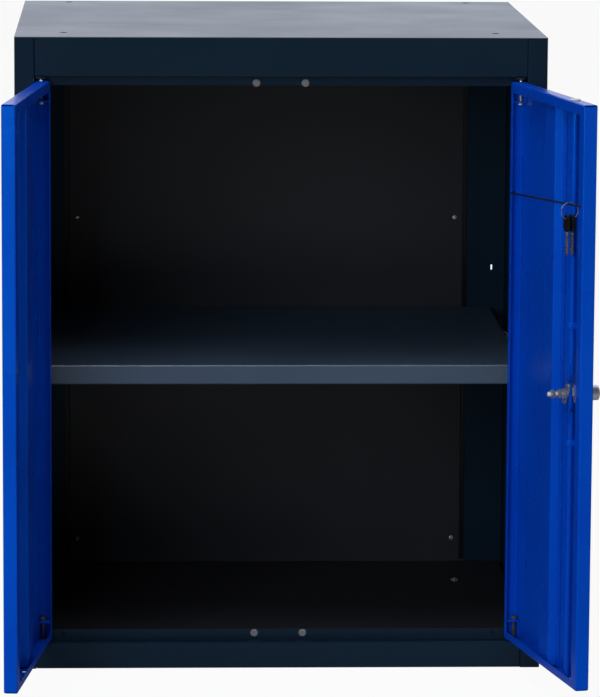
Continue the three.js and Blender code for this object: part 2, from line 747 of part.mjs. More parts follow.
function lockPlate() {
  const { thickness, freeSide, hingeSide, half, chamfer } = LOCK_PLATE;
  const plate = outline([
    [-freeSide, -half],
    [hingeSide - chamfer, -half],
    [hingeSide, -half + chamfer],
    [hingeSide, half - chamfer],
    [hingeSide - chamfer, half],
    [-freeSide, half],
  ]);
  plate.holes.push(disc(0, 0, BARREL_RADIUS + FIT));
  const near = DOOR_GAUGE + FIT;
  return prism('y', plate, near, near + thickness);
}

function nut(across, bore, near, thickness) {
  const shape = hexagon(across);
  shape.holes.push(disc(0, 0, bore));
  return prism('y', shape, near, near + thickness);
}

function lockCam() {
  const inner = ROD_OFFSET;
  const outer = ROD_OFFSET * Math.SQRT2;
  const width = 2 * (HOOK_RADIUS + HOOK_PLAY);
  const reach = outer + width / 2 + CAM_RADIUS / 2;
  const plate = slot(0, 0, 2 * reach, 2 * CAM_RADIUS);
  plate.holes.push(disc(0, 0, SPINDLE_RADIUS + FIT));
  for (const sign of [-1, 1]) {
    const middle = (sign * (inner + outer)) / 2;
    plate.holes.push(slot(middle, 0, outer - inner + width, width));
  }
  return prism('y', plate, CAM_SEAT, CAM_SEAT + CAM_THICKNESS);
}

// The rod drawn for the upper half, upwards from the lock axis: a cranked plate with a hook, then the shaft.
function lockRod(tip) {
  const { near, far, overlap, half, relief } = ROD_PLATE;
  const shaft = prism('z', disc(0, ROD_DEPTH, ROD_RADIUS), ROD_SHAFT_START, tip - ROD_CHAMFER);
  const nose = turned('z', [
    [0, tip - 2 * ROD_CHAMFER],
    [ROD_RADIUS, tip - 2 * ROD_CHAMFER],
    [ROD_RADIUS, tip - ROD_CHAMFER],
    [ROD_RADIUS - ROD_CHAMFER, tip],
    [0, tip],
  ]).translate([0, ROD_DEPTH, 0]);
  const crank = outline([
    [ROD_OFFSET - half + relief, -ROD_OFFSET - half],
    [ROD_OFFSET + half, -ROD_OFFSET - half],
    [ROD_OFFSET + half, ROD_SHAFT_START - 2 * half],
    [ROD_RADIUS, ROD_SHAFT_START],
    [ROD_RADIUS, ROD_SHAFT_START + overlap],
    [-ROD_RADIUS, ROD_SHAFT_START + overlap],
    [-ROD_RADIUS, ROD_SHAFT_START - half],
    [ROD_OFFSET - half + relief, ROD_SHAFT_START - 3 * half],
  ]);
  const plate = prism('y', crank, near, far);
  const hook = prism('y', disc(ROD_OFFSET, -ROD_OFFSET, HOOK_RADIUS), near, HOOK_END);
  return union([shaft, nose, plate, hook]);
}

function rodBush(sleeveEnd, flangeFrom, flangeTo) {
  const bore = ROD_RADIUS + FIT;
  const sleeve = bore + ROD_BUSH.wall;
  return turned('z', ringProfile([
    [bore, sleeveEnd],
    [sleeve, sleeveEnd],
    [sleeve, flangeFrom],
    [sleeve + ROD_BUSH.flange, flangeFrom],
    [sleeve + ROD_BUSH.flange, flangeTo],
    [bore, flangeTo],
  ]));
}

function rodGuide() {
  const bore = ROD_RADIUS + FIT;
  const radius = bore + ROD_GUIDE.wall;
  const seat = DOOR_GAUGE + FIT;
  const shape = new THREE.Shape();
  shape.moveTo(-radius, seat);
  shape.lineTo(radius, seat);
  shape.lineTo(radius, ROD_DEPTH);
  shape.absarc(0, ROD_DEPTH, radius, 0, Math.PI, false);
  shape.closePath();
  shape.holes.push(disc(0, ROD_DEPTH, bore));
  return prism('z', shape, -ROD_GUIDE.thickness / 2, ROD_GUIDE.thickness / 2);
}

// Keys, ring and cord

// A round run of cord between two points, with ball ends so that runs join at any angle.
function cordRun(from, to, radius) {
  const along = to.clone().sub(from);
  const run = new THREE.CylinderGeometry(radius, radius, along.length(), CORD_FACETS);
  const turn = new THREE.Quaternion().setFromUnitVectors(UNIT.y, along.clone().normalize());
  run.applyQuaternion(turn);
  const middle = from.clone().add(to).divideScalar(2);
  run.translate(middle.x, middle.y, middle.z);
  return solid(run).add(ball(from, radius)).add(ball(to, radius));
}

function ball(centre, radius) {
  const sphere = new THREE.SphereGeometry(radius, CORD_FACETS, CORD_FACETS / 2);
  sphere.translate(centre.x, centre.y, centre.z);
  return solid(sphere);
}

function keyCord() {
  const ends = cordHoles().map(([across, height]) => ({
    knot: new THREE.Vector3(across, INNER - CORD_TAIL, height),
    bend: new THREE.Vector3(across, CORD_Y, height),
  }));
  const [hinge, free] = ends;
  const runs = ends.map(({ knot, bend }) => cordRun(knot, bend, CORD_RADIUS));
  const knots = ends.map(({ knot }) => ball(knot, CORD_KNOT));
  return union([cordRun(hinge.bend, free.bend, CORD_RADIUS), ...runs, ...knots]);
}

function cordHeight(across) {
  const [hinge, free] = cordHoles();
  const share = (across - hinge[0]) / (free[0] - hinge[0]);
  return hinge[1] + share * (free[1] - hinge[1]);
}

function keyRing() {
  const torus = new THREE.TorusGeometry(RING_RADIUS, RING_WIRE, CORD_FACETS, ROUND_STEPS);
  torus.rotateY(Math.PI / 2);
  return solid(torus);
}

// The key hangs from the hole in its head, which is the origin.
function keyHead() {
  const { width, thickness, topCorner, lowCorner, hole, holeDrop, tongue, tongueWidth, bladeThickness } = KEY;
  const half = width / 2;
  const shape = new THREE.Shape();
  shape.moveTo(-half + lowCorner, KEY_LOW);
  shape.lineTo(half - lowCorner, KEY_LOW);
  shape.absarc(half - lowCorner, KEY_LOW + lowCorner, lowCorner, -Math.PI / 2, 0, false);
  shape.absarc(half - topCorner, holeDrop - topCorner, topCorner, 0, Math.PI / 2, false);
  shape.absarc(-half + topCorner, holeDrop - topCorner, topCorner, Math.PI / 2, Math.PI, false);
  shape.absarc(-half + lowCorner, KEY_LOW + lowCorner, lowCorner, Math.PI, 1.5 * Math.PI, false);
  shape.holes.push(disc(0, 0, hole));
  const body = prism('y', shape, -thickness / 2, thickness / 2);
  const slotHalf = [tongueWidth / 2 + FIT, bladeThickness / 2 + FIT];
  const seat = block(
    [-slotHalf[0], slotHalf[0]],
    [-slotHalf[1], slotHalf[1]],
    [KEY_LOW - CUT_OVER, KEY_LOW + tongue + FIT],
  );
  return body.subtract(seat);
}

// The blade's tongue stands in the head; its right edge carries the cuts, counted from the tip.
function keyBlade() {
  const { blade, bladeWidth, bladeThickness, tongue, tongueWidth, cutDepths, cutSpread } = KEY;
  const half = bladeWidth / 2;
  const shoulder = KEY_LOW - FIT;
  const tip = shoulder - blade;
  const pitch = (blade - 2 * bladeWidth) / cutDepths.length;
  const points = [
    [-tongueWidth / 2, KEY_LOW + tongue],
    [-tongueWidth / 2, shoulder],
    [-half, shoulder],
    [-half, tip + half],
    [0, tip],
    [half, tip + half],
  ];
  cutDepths.forEach((depth, i) => {
    const valley = tip + bladeWidth + i * pitch + cutSpread;
    points.push([half, valley - cutSpread], [half - depth, valley], [half, valley + cutSpread]);
  });
  points.push([half, shoulder], [tongueWidth / 2, shoulder], [tongueWidth / 2, KEY_LOW + tongue]);
  return prism('y', outline(points), -bladeThickness / 2, bladeThickness / 2);
}

// Assembly

const locker = new THREE.Group();
locker.position.y = -BASE_FLANGE / 2;

const carcass = new THREE.Group();
locker.add(carcass);
piece(carcass, 'top_panel', 'anthracite', topPanel());
piece(carcass, 'back_panel', 'anthracite', backPanel());
piece(carcass, 'floor_panel', 'anthracite', floorPanel());
piece(carcass, 'front_base_rail', 'anthracite', baseRail());
piece(carcass, 'shelf', 'slate', shelf());

const supportFronts = {
  front: SHELF_SETBACK + SUPPORT_INSET,
  rear: DEPTH - GAUGE - SHELF_REAR_GAP - SUPPORT_INSET - SUPPORT_LENGTH,
};
for (const { name, sign } of SIDES) {
  piece(carcass, `${name}_side_panel`, 'anthracite', sidePanel(sign));
  for (const [place, front] of Object.entries(supportFronts)) {
    piece(carcass, `shelf_support_${place}_${name}`, 'zinc', shelfSupport(sign, front));
  }
  const upperBumper = piece(carcass, `upper_bumper_${name}`, 'rubber', bumper());
  upperBumper.position.set((sign * BUMPER_SPREAD) / 2, STOP_SETBACK - FIT, HEADER_BOTTOM - BUMPER_DROP);
  const lowerBumper = piece(carcass, `lower_bumper_${name}`, 'rubber', bumper());
  const sillMiddle = PLINTH_HEIGHT + SILL_RISE / 2 + BUMPER_LIFT;
  lowerBumper.position.set((sign * BUMPER_SPREAD) / 2, STOP_SETBACK - FIT, sillMiddle);
  const upperBush = piece(carcass, `upper_pivot_bush_${name}`, 'nylon', pivotBush(DOOR_TOP_GAP));
  upperBush.position.set(sign * PIVOT_ACROSS, PIVOT_DEPTH, HEADER_BOTTOM);
  upperBush.rotation.x = Math.PI;
  const lowerBush = piece(carcass, `lower_pivot_bush_${name}`, 'nylon', pivotBush(DOOR_BOTTOM_GAP));
  lowerBush.position.set(sign * PIVOT_ACROSS, PIVOT_DEPTH, PLINTH_HEIGHT);
  for (const [place, height] of [['upper', RIVET.high], ['lower', RIVET.low]]) {
    const backRivet = piece(carcass, `back_rivet_${place}_${name}`, 'zinc', rivet());
    backRivet.position.set(sign * (HALF - RIVET.fromSide), DEPTH, height);
  }
}
const bolt = piece(carcass, 'floor_bolt', 'zinc', floorBolt());
bolt.position.set(HALF - FLOOR_BOLT.fromSide, FLOOR_BOLT.back, FLOOR_HEIGHT);

function hangDoor(name, sign, degrees, pan) {
  const door = new THREE.Group();
  door.position.set(sign * PIVOT_ACROSS, PIVOT_DEPTH, 0);
  door.rotation.z = sign * THREE.MathUtils.degToRad(degrees);
  locker.add(door);
  piece(door, `${name}_door_panel`, 'blue', pan);
  piece(door, `${name}_door_stiffener`, 'blue', hatStiffener(sign));
  piece(door, `${name}_door_upper_bracket`, 'blue', hingeBracket(sign, DOOR_TOP, -1));
  piece(door, `${name}_door_lower_bracket`, 'blue', hingeBracket(sign, DOOR_BOTTOM, 1));
  const lowerEnd = PLINTH_HEIGHT - GAUGE - PIN_REACH;
  const lowerLength = DOOR_BOTTOM + BRACKET_HEIGHT + FIT - lowerEnd;
  const lowerPin = piece(door, `${name}_door_lower_pin`, 'zinc', pivotPin(lowerLength));
  lowerPin.position.z = lowerEnd;
  const upperEnd = HEADER_BOTTOM + GAUGE + PIN_REACH;
  const upperLength = upperEnd - (DOOR_TOP - BRACKET_HEIGHT - FIT);
  const upperPin = piece(door, `${name}_door_upper_pin`, 'zinc', pivotPin(upperLength));
  upperPin.position.z = upperEnd;
  upperPin.rotation.x = Math.PI;
  return door;
}

hangDoor('left', -1, LEFT_OPEN_DEGREES, doorPan(-1));
const rightDoor = hangDoor('right', 1, RIGHT_OPEN_DEGREES, lockedDoorPan());

const lock = new THREE.Group();
lock.position.set(LOCK_ACROSS, FACE, LOCK_HEIGHT);
rightDoor.add(lock);
piece(lock, 'lock_housing', 'zinc', lockHousing());
piece(lock, 'lock_plate', 'blue', lockPlate());
const lockNutSeat = DOOR_GAUGE + LOCK_PLATE.thickness + 2 * FIT;
piece(lock, 'lock_nut', 'zinc', nut(LOCK_NUT.across, BARREL_RADIUS + FIT, lockNutSeat, LOCK_NUT.thickness));
piece(lock, 'lock_knob', 'zinc', lockKnob());
const cam = piece(lock, 'lock_cam', 'zinc', lockCam());
cam.rotation.y = Math.PI / 4;
for (const { name, across, seat, thickness } of SPINDLE_NUTS) {
  piece(lock, name, 'zinc', nut(across, SPINDLE_RADIUS + FIT, seat, thickness));
}
piece(lock, 'upper_rod', 'blue', lockRod(DOOR_TOP + ROD_TIP - LOCK_HEIGHT));
const lowerTip = LOCK_HEIGHT - DOOR_BOTTOM - DOOR_GAUGE - ROD_TIP;
const lowerRod = piece(lock, 'lower_rod', 'blue', lockRod(lowerTip));
lowerRod.rotation.y = Math.PI;
const upperGuide = piece(lock, 'upper_rod_guide', 'blue', rodGuide());
upperGuide.position.z = ROD_GUIDE.above;
const lowerGuide = piece(lock, 'lower_rod_guide', 'blue', rodGuide());
lowerGuide.position.z = -ROD_GUIDE.below;
const upperRodBush = rodBush(-DOOR_GAUGE - ROD_BUSH.tail, FIT, FIT + ROD_BUSH.rise);
const upperBushMesh = piece(lock, 'upper_rod_bush', 'nylon', upperRodBush);
upperBushMesh.position.set(0, ROD_DEPTH, DOOR_TOP - LOCK_HEIGHT);
const lowerRodBush = rodBush(0, DOOR_GAUGE + FIT, DOOR_GAUGE + FIT + ROD_BUSH.rise);
const lowerBushMesh = piece(lock, 'lower_rod_bush', 'nylon', lowerRodBush);
lowerBushMesh.position.set(0, ROD_DEPTH, DOOR_BOTTOM - LOCK_HEIGHT);

piece(rightDoor, 'key_cord', 'cord', keyCord());
const ringAcross = FREE_EDGE + RING_FROM_FREE;
const ringHeight = cordHeight(ringAcross) + CORD_RADIUS + FIT - (RING_RADIUS - RING_WIRE);
const ring = piece(rightDoor, 'key_ring', 'zinc', keyRing());
ring.position.set(ringAcross, CORD_Y, ringHeight);
const keyHang = ringHeight - Math.sqrt(RING_RADIUS ** 2 - (KEY.spacing / 2) ** 2) + FIT;
[-1, 1].forEach((side, i) => {
  const key = new THREE.Group();
  key.position.set(ringAcross, CORD_Y + (side * KEY.spacing) / 2, keyHang);
  rightDoor.add(key);
  piece(key, `key_head_${i + 1}`, 'keyHead', keyHead());
  piece(key, `key_blade_${i + 1}`, 'zinc', keyBlade());
});

export default locker;
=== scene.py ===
# %% [markdown]
# # A two-door side locker, dressed for its portrait
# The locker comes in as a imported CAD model: folded panels, doors on pivot pins, a knob lock with
# two rods, and a pair of keys on a cord. Each cell below takes one piece or one finish, says what
# it is on the real object, and shows a way to make it in Blender.

# %% Load the frame
import bpy
import bmesh
import json
import math
from mathutils import Matrix, Vector


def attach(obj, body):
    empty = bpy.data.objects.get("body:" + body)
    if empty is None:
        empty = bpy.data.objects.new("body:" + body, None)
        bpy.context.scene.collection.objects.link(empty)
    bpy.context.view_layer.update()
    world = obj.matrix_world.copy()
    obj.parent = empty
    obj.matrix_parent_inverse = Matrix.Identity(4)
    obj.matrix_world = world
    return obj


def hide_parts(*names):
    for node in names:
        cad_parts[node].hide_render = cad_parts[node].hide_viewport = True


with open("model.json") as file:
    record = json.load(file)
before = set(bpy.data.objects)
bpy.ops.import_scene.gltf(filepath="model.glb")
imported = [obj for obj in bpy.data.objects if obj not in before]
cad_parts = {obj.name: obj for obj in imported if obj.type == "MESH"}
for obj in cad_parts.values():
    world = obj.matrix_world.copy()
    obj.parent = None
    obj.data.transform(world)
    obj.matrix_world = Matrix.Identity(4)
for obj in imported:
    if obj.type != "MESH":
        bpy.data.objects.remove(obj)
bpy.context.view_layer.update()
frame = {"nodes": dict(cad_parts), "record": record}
NODES = frame["nodes"]
MM = 0.001

# %% [markdown]
# ## The camera
# The photograph was taken from about five and a half metres with a long lens, a little above the
# top of the locker and slightly to its left. A camera's matrix holds its right, up and backward
# directions, so the measured yaw, pitch and roll are turned into those three and set at once.

# %% Camera
YAW, PITCH, ROLL = (math.radians(a) for a in (2.26, 8.90, 0.33))
EYE = Vector((-0.1881, -5.4040, 1.2533))
FOCAL_PIXELS = 4374.8
FRAME_HEIGHT = 697

forward = Vector((math.sin(YAW) * math.cos(PITCH), math.cos(YAW) * math.cos(PITCH), -math.sin(PITCH)))
level = Vector((math.cos(YAW), -math.sin(YAW), 0))
upright = level.cross(forward)
right = math.cos(ROLL) * level + math.sin(ROLL) * upright
up = -math.sin(ROLL) * level + math.cos(ROLL) * upright
lens = bpy.data.cameras.new("long_lens")
lens.sensor_width = 36
lens.lens = lens.sensor_width * FOCAL_PIXELS / FRAME_HEIGHT
camera = bpy.data.objects.new("camera", lens)
camera.matrix_world = Matrix((right, up, -forward)).transposed().to_4x4()
camera.location = EYE
bpy.context.collection.objects.link(camera)
bpy.context.scene.camera = camera
print("lens in mm:", round(lens.lens, 1))

# %% [markdown]
# ## Where things are on a door
# A door is easiest to think of shut and lying along X, with its pivot pin at the origin. These
# values repeat the ones the panels were folded to. One matrix per door then swings a finished
# piece out to the angle in the photograph, and is applied, so that every object stays at the origin.

# %% Door places
PIVOT = {"left": Vector((-0.2972, -0.007, 0)), "right": Vector((0.2972, -0.007, 0))}
SIGN = {"left": -1, "right": 1}
OPEN = {"left": 96.9, "right": 101.7}
DOOR_BOTTOM, DOOR_TOP = 0.0364, 0.7422
HINGE_EDGE, FREE_EDGE = 0.006, -0.2963
FACE, INNER = -0.0055, 0.0113
LOCK = Vector((FREE_EDGE + 0.060, FACE, (DOOR_BOTTOM + DOOR_TOP) / 2))
CORD_Y = INNER + 0.002


def door_place(side):
    swing = Matrix.Rotation(SIGN[side] * math.radians(OPEN[side]), 4, "Z")
    return Matrix.Translation(PIVOT[side]) @ swing


print("lock axis at", tuple(round(v, 4) for v in door_place("right") @ LOCK))

# %% [markdown]
# ## The key cord
# A thin black cord is stretched across the inside of the right door, from a hole in the hinge lip
# to a hole in the free lip. A curve with a round bevel is the natural start for a cord, because its
# path is its length. It is then converted to a mesh, one smooth tube. Each tail goes through its lip
# to a knot behind it.

# %% Cord route
CORD_RADIUS = 0.001
CORD_TAIL = 0.004
CORD_TURN = 0.0025
TURN_STEPS, SPAN_STEPS = 4, 18
CORD_ENDS = [Vector((HINGE_EDGE - 0.005, 0, 0.604)), Vector((FREE_EDGE + 0.009, 0, 0.622))]


def quarter_turn(corner, towards):
    lip = Vector((0, CORD_Y - CORD_TURN, 0))
    points = []
    for step in range(TURN_STEPS + 1):
        angle = step / TURN_STEPS * math.pi / 2
        aside = towards * CORD_TURN * (1 - math.cos(angle))
        points.append(corner + lip + aside + Vector((0, CORD_TURN * math.sin(angle), 0)))
    return points


def cord_route():
    hinge, free = CORD_ENDS
    along = (free - hinge).normalized()
    tail = Vector((0, INNER - CORD_TAIL, 0))
    first = quarter_turn(hinge, along)
    last = quarter_turn(free, -along)[::-1]
    middle = [first[-1].lerp(last[0], step / SPAN_STEPS) for step in range(1, SPAN_STEPS)]
    return [hinge + tail, *first, *middle, *last, free + tail]


route = [door_place("right") @ point for point in cord_route()]


# %% Cord tube
def wire(name, points, radius, cyclic=False):
    curve = bpy.data.curves.new(name, "CURVE")
    curve.dimensions = "3D"
    curve.bevel_depth = radius
    curve.bevel_resolution = 4
    curve.use_fill_caps = True
    spline = curve.splines.new("POLY")
    spline.points.add(len(points) - 1)
    for point, place in zip(spline.points, points):
        point.co = (*place, 1)
    spline.use_cyclic_u = cyclic
    line = bpy.data.objects.new(name, curve)
    bpy.context.collection.objects.link(line)
    return line


def take(thing):
    bpy.ops.object.select_all(action="DESELECT")
    thing.select_set(True)
    bpy.context.view_layer.objects.active = thing


def as_mesh(line):
    take(line)
    bpy.ops.object.convert(target="MESH")
    return bpy.context.object


cord_line = as_mesh(wire("key_cord_line", route, CORD_RADIUS))
print("cord tube with", len(cord_line.data.polygons), "faces")

# %% [markdown]
# ## Knots
# Each tail ends in a small overhand knot, which keeps it from slipping back through its hole. The
# path of an overhand knot pulled into a ring is a trefoil, so a closed curve follows that formula,
# gets a bevel a little thinner than the cord, and is converted to a mesh.

# %% Cord knots
KNOT_SCALE = 0.0005
KNOT_STRAND = 0.0007
KNOT_STEPS = 60


def trefoil(centre):
    points = []
    for step in range(KNOT_STEPS):
        t = step / KNOT_STEPS * 2 * math.pi
        x = math.sin(t) + 2 * math.sin(2 * t)
        z = math.cos(t) - 2 * math.cos(2 * t)
        points.append(centre + KNOT_SCALE * Vector((x, math.sin(3 * t), z)))
    return points


cord_knots = []
for name, end in zip(("hinge_knot", "free_knot"), CORD_ENDS):
    centre = end + Vector((0, INNER - CORD_TAIL, 0))
    loop = [door_place("right") @ point for point in trefoil(centre)]
    knot = as_mesh(wire(name, loop, KNOT_STRAND, cyclic=True))
    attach(knot, "right_door")
    cord_knots.append(knot)
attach(cord_line, "right_door")
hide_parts("key_cord")
print("knots:", [knot.name for knot in cord_knots])

# %% [markdown]
# ## Floor, backdrop and light
# The locker stands alone on white. The floor is pale and catches a soft shadow. The world is white
# where the camera looks past the locker. What a polished surface sees is white behind the locker
# and dark on the camera's side, as in a studio with a lit sweep behind and a dim room in front:
# that makes the top gleam while the front stays nearly black. Broad lamps do the rest. The dark paint
# does not mirror them, but bright metal, the doors and the bends of the shelf need something to mirror,
# so four more lamps are only mirrored, and are linked to collections of the pieces that they may reach.

# %% Floor
FLOOR_SIZE = 30
FLOOR_CENTRE = (0, 10.5, -0.0006)
bpy.ops.object.select_all(action="DESELECT")
bpy.ops.mesh.primitive_plane_add(size=FLOOR_SIZE, location=FLOOR_CENTRE)
floor = bpy.context.object
floor.name = "pale_floor"
bpy.ops.object.transform_apply(location=True, rotation=True, scale=True)
print("floor spans", tuple(round(v, 2) for v in floor.dimensions))

# %% Floor paper
WHITE = (1, 1, 1, 1)
PALE = (0.9, 0.9, 0.9, 1)
DIM = (0.27, 0.27, 0.27, 1)
FLOOR_GLOW = 0.93
pale = bpy.data.materials.new("pale_floor_paper")
pale.use_nodes = True
pale_nodes, pale_links = pale.node_tree.nodes, pale.node_tree.links
paper = pale_nodes["Principled BSDF"]
paper.inputs["Base Color"].default_value = PALE
paper.inputs["Roughness"].default_value = 1
paper.inputs["Specular IOR Level"].default_value = 0
glow = pale_nodes.new("ShaderNodeEmission")
glow.inputs["Color"].default_value = WHITE
path = pale_nodes.new("ShaderNodeLightPath")
share = pale_nodes.new("ShaderNodeMath")
share.operation = "MULTIPLY"
share.inputs[1].default_value = FLOOR_GLOW
pale_links.new(path.outputs["Is Camera Ray"], share.inputs[0])
mix = pale_nodes.new("ShaderNodeMixShader")
pale_links.new(share.outputs[0], mix.inputs[0])
pale_links.new(paper.outputs[0], mix.inputs[1])
pale_links.new(glow.outputs[0], mix.inputs[2])
dim = pale_nodes.new("ShaderNodeBsdfDiffuse")
dim.inputs["Color"].default_value = DIM
reflected = pale_nodes.new("ShaderNodeMixShader")
pale_links.new(path.outputs["Is Glossy Ray"], reflected.inputs[0])
pale_links.new(mix.outputs[0], reflected.inputs[1])
pale_links.new(dim.outputs[0], reflected.inputs[2])
pale_links.new(reflected.outputs[0], pale_nodes["Material Output"].inputs["Surface"])
floor.data.materials.append(pale)
print("floor glows at", FLOOR_GLOW)

# %% World
SWEEP_TINT = (0.98, 1.03, 1.16, 1)
SWEEP_START, SWEEP_END = -0.05, 0.55
ROOM_LIGHT = 0.24
world = bpy.data.worlds.new("white_sweep")
bpy.context.scene.world = world
world.use_nodes = True
wn, wl = world.node_tree.nodes, world.node_tree.links
look = wn.new("ShaderNodeTexCoord")
split = wn.new("ShaderNodeSeparateXYZ")
wl.new(look.outputs["Generated"], split.inputs[0])
sweep = wn.new("ShaderNodeMapRange")
sweep.inputs["From Min"].default_value = SWEEP_START
sweep.inputs["From Max"].default_value = SWEEP_END
wl.new(split.outputs["Y"], sweep.inputs["Value"])
rays = wn.new("ShaderNodeLightPath")
mirrored = wn.new("ShaderNodeBackground")
mirrored.inputs["Color"].default_value = SWEEP_TINT
wl.new(sweep.outputs["Result"], mirrored.inputs["Strength"])
room = wn["Background"]
room.inputs["Color"].default_value = WHITE
room.inputs["Strength"].default_value = ROOM_LIGHT
backdrop = wn.new("ShaderNodeBackground")
backdrop.inputs["Color"].default_value = WHITE
backdrop.inputs["Strength"].default_value = 1
seen = wn.new("ShaderNodeMath")
seen.operation = "MAXIMUM"
wl.new(rays.outputs["Is Camera Ray"], seen.inputs[0])
wl.new(rays.outputs["Is Transmission Ray"], seen.inputs[1])
indoors = wn.new("ShaderNodeMixShader")
wl.new(rays.outputs["Is Glossy Ray"], indoors.inputs[0])
wl.new(room.outputs[0], indoors.inputs[1])
wl.new(mirrored.outputs[0], indoors.inputs[2])
whole = wn.new("ShaderNodeMixShader")
wl.new(seen.outputs[0], whole.inputs[0])
wl.new(indoors.outputs[0], whole.inputs[1])
wl.new(backdrop.outputs[0], whole.inputs[2])
wl.new(whole.outputs[0], wn["World Output"].inputs["Surface"])
print("room light", ROOM_LIGHT)


# %% Lamps
def soft_lamp(name, place, target, size, energy, scattered=True, mirrored=True):
    data = bpy.data.lights.new(name, "AREA")
    data.shape = "RECTANGLE"
    data.size, data.size_y = size
    data.energy = energy
    lamp = bpy.data.objects.new(name, data)
    lamp.location = place
    lamp.rotation_euler = (Vector(target) - Vector(place)).to_track_quat("-Z", "Y").to_euler()
    lamp.visible_diffuse = scattered
    lamp.visible_glossy = mirrored
    bpy.context.collection.objects.link(lamp)
    print("lamp", name, energy, "W")
    return lamp


GLINTING = bpy.data.collections.new("glinting_pieces")
GLINTS = ("zinc", "chrome", "key_steel", "door_paint")
FOLDED = bpy.data.collections.new("folded_sheet")
FOLDS = ("shelf", "left_door_panel", "right_door_panel", "left_door_stiffener", "right_door_stiffener")
FRONT = {"place": (-1.6, -4.8, 1.7), "target": (0.1, 0.1, 0.4), "size": (1.8, 2.0)}
EDGE_LIGHTS = {
    "edge_above": ((-0.5, -1.7, 3.4), 90),
    "edge_left": ((-3.2, -2.2, 1.4), 200),
    "edge_right": ((3.2, -2.2, 1.4), 200),
}
ABOVE = {"place": (-0.4, -0.6, 3.2), "target": (0, 0.2, 0.4), "size": (2.4, 2.0)}
EDGE_TARGET, EDGE_SIZE = (0, 0, 0.4), (1.6, 1.2)
soft_lamp("overhead", **ABOVE, energy=50, mirrored=False)
soft_lamp("front_left", **FRONT, energy=118, mirrored=False)
glint = soft_lamp("glint", **FRONT, energy=170, scattered=False)
glint.light_linking.receiver_collection = GLINTING
for name, (place, energy) in EDGE_LIGHTS.items():
    edge_light = soft_lamp(name, place, EDGE_TARGET, EDGE_SIZE, energy, scattered=False)
    edge_light.light_linking.receiver_collection = FOLDED
bpy.context.scene.view_settings.view_transform = "Standard"

# %% [markdown]
# ## Powder coat
# Carcass and doors are powder coated: a tough baked paint with a fine orange peel, slightly uneven
# in gloss. A noise of about a millimetre drives a shallow bump, and a broad, slow noise shifts the
# colour and the roughness by a few percent, so that no panel is dead flat. The floor and the back wall
# have a greyer coat than the outside, made lighter as painted fill light for the dim inside. The shelf
# is a lighter slate, made lighter still by the same painted fill light. A tint on the reflections keeps
# the dark paint navy and the doors azure where they gleam.

# %% Noise, ramp and relief
CLOUD_RANGE = (0.3, 0.7)


def noise(nodes, links, coords, scale, detail):
    texture = nodes.new("ShaderNodeTexNoise")
    texture.inputs["Scale"].default_value = scale
    texture.inputs["Detail"].default_value = detail
    links.new(coords.outputs["Object"], texture.inputs["Vector"])
    return texture.outputs["Fac"]


def ramp(nodes, links, source, colours):
    blend = nodes.new("ShaderNodeValToRGB")
    for element, position, colour in zip(blend.color_ramp.elements, CLOUD_RANGE, colours):
        element.position = position
        element.color = (*colour, 1)
    links.new(source, blend.inputs["Fac"])
    return blend.outputs["Color"]


def spread(nodes, links, source, low, high):
    change = nodes.new("ShaderNodeMapRange")
    change.inputs["From Min"].default_value, change.inputs["From Max"].default_value = CLOUD_RANGE
    change.inputs["To Min"].default_value = low
    change.inputs["To Max"].default_value = high
    links.new(source, change.inputs["Value"])
    return change.outputs["Result"]


def bump(nodes, links, source, strength, distance):
    relief = nodes.new("ShaderNodeBump")
    relief.inputs["Strength"].default_value = strength
    relief.inputs["Distance"].default_value = distance
    links.new(source, relief.inputs["Height"])
    return relief.outputs["Normal"]


def clouded(name, dark, light, rough, cloud, grain, relief):
    """A finish whose tone and gloss drift with a slow noise, with a fine noise as its relief."""
    finish = bpy.data.materials.new(name)
    finish.use_nodes = True
    nodes, links = finish.node_tree.nodes, finish.node_tree.links
    shader = nodes["Principled BSDF"]
    coords = nodes.new("ShaderNodeTexCoord")
    slow = noise(nodes, links, coords, *cloud)
    fine = noise(nodes, links, coords, *grain)
    links.new(ramp(nodes, links, slow, (dark, light)), shader.inputs["Base Color"])
    links.new(spread(nodes, links, slow, *rough), shader.inputs["Roughness"])
    links.new(bump(nodes, links, fine, *relief), shader.inputs["Normal"])
    print("made", name)
    return finish, shader


print("clouds are spread over", CLOUD_RANGE)

# %% Paint
PAINT_CLOUD, ORANGE_PEEL, PEEL_RELIEF = (7, 3), (850, 2), (0.25, 0.00012)


def powder_coat(name, dark, light, rough, level, tint=(1, 1, 1)):
    finish, shader = clouded(name, dark, light, rough, PAINT_CLOUD, ORANGE_PEEL, PEEL_RELIEF)
    shader.inputs["Specular IOR Level"].default_value = level
    shader.inputs["Specular Tint"].default_value = (*tint, 1)
    return finish


ANTHRACITE = powder_coat("anthracite_powder_coat", (0.0045, 0.0115, 0.0235), (0.0055, 0.0135, 0.0265),
                         (0.28, 0.36), 0.5, tint=(0.4, 0.75, 1))
# The floor and back coats are greyer and lighter than the outside; the extra lightness is painted fill light.
FLOOR_COAT_WITH_FILL = powder_coat("floor_coat_with_painted_fill", (0.0205, 0.0215, 0.0260), (0.0240, 0.0250, 0.0300),
                   (0.55, 0.65), 0.5)
BACK_COAT_WITH_FILL = powder_coat("back_coat_with_painted_fill", (0.0150, 0.0178, 0.0225), (0.0180, 0.0208, 0.0255),
                   (0.32, 0.42), 0.55)
# The shelf is a lighter slate paint, made lighter still as painted fill light.
SLATE_WITH_FILL = powder_coat("slate_shelf_coat_with_painted_fill", (0.035, 0.061, 0.104), (0.041, 0.071, 0.118), (0.34, 0.44), 0.5)
BLUE = powder_coat("blue_powder_coat", (0.0004, 0.043, 0.41), (0.0006, 0.053, 0.47), (0.24, 0.32), 0.3,
                   tint=(0.02, 0.46, 1))
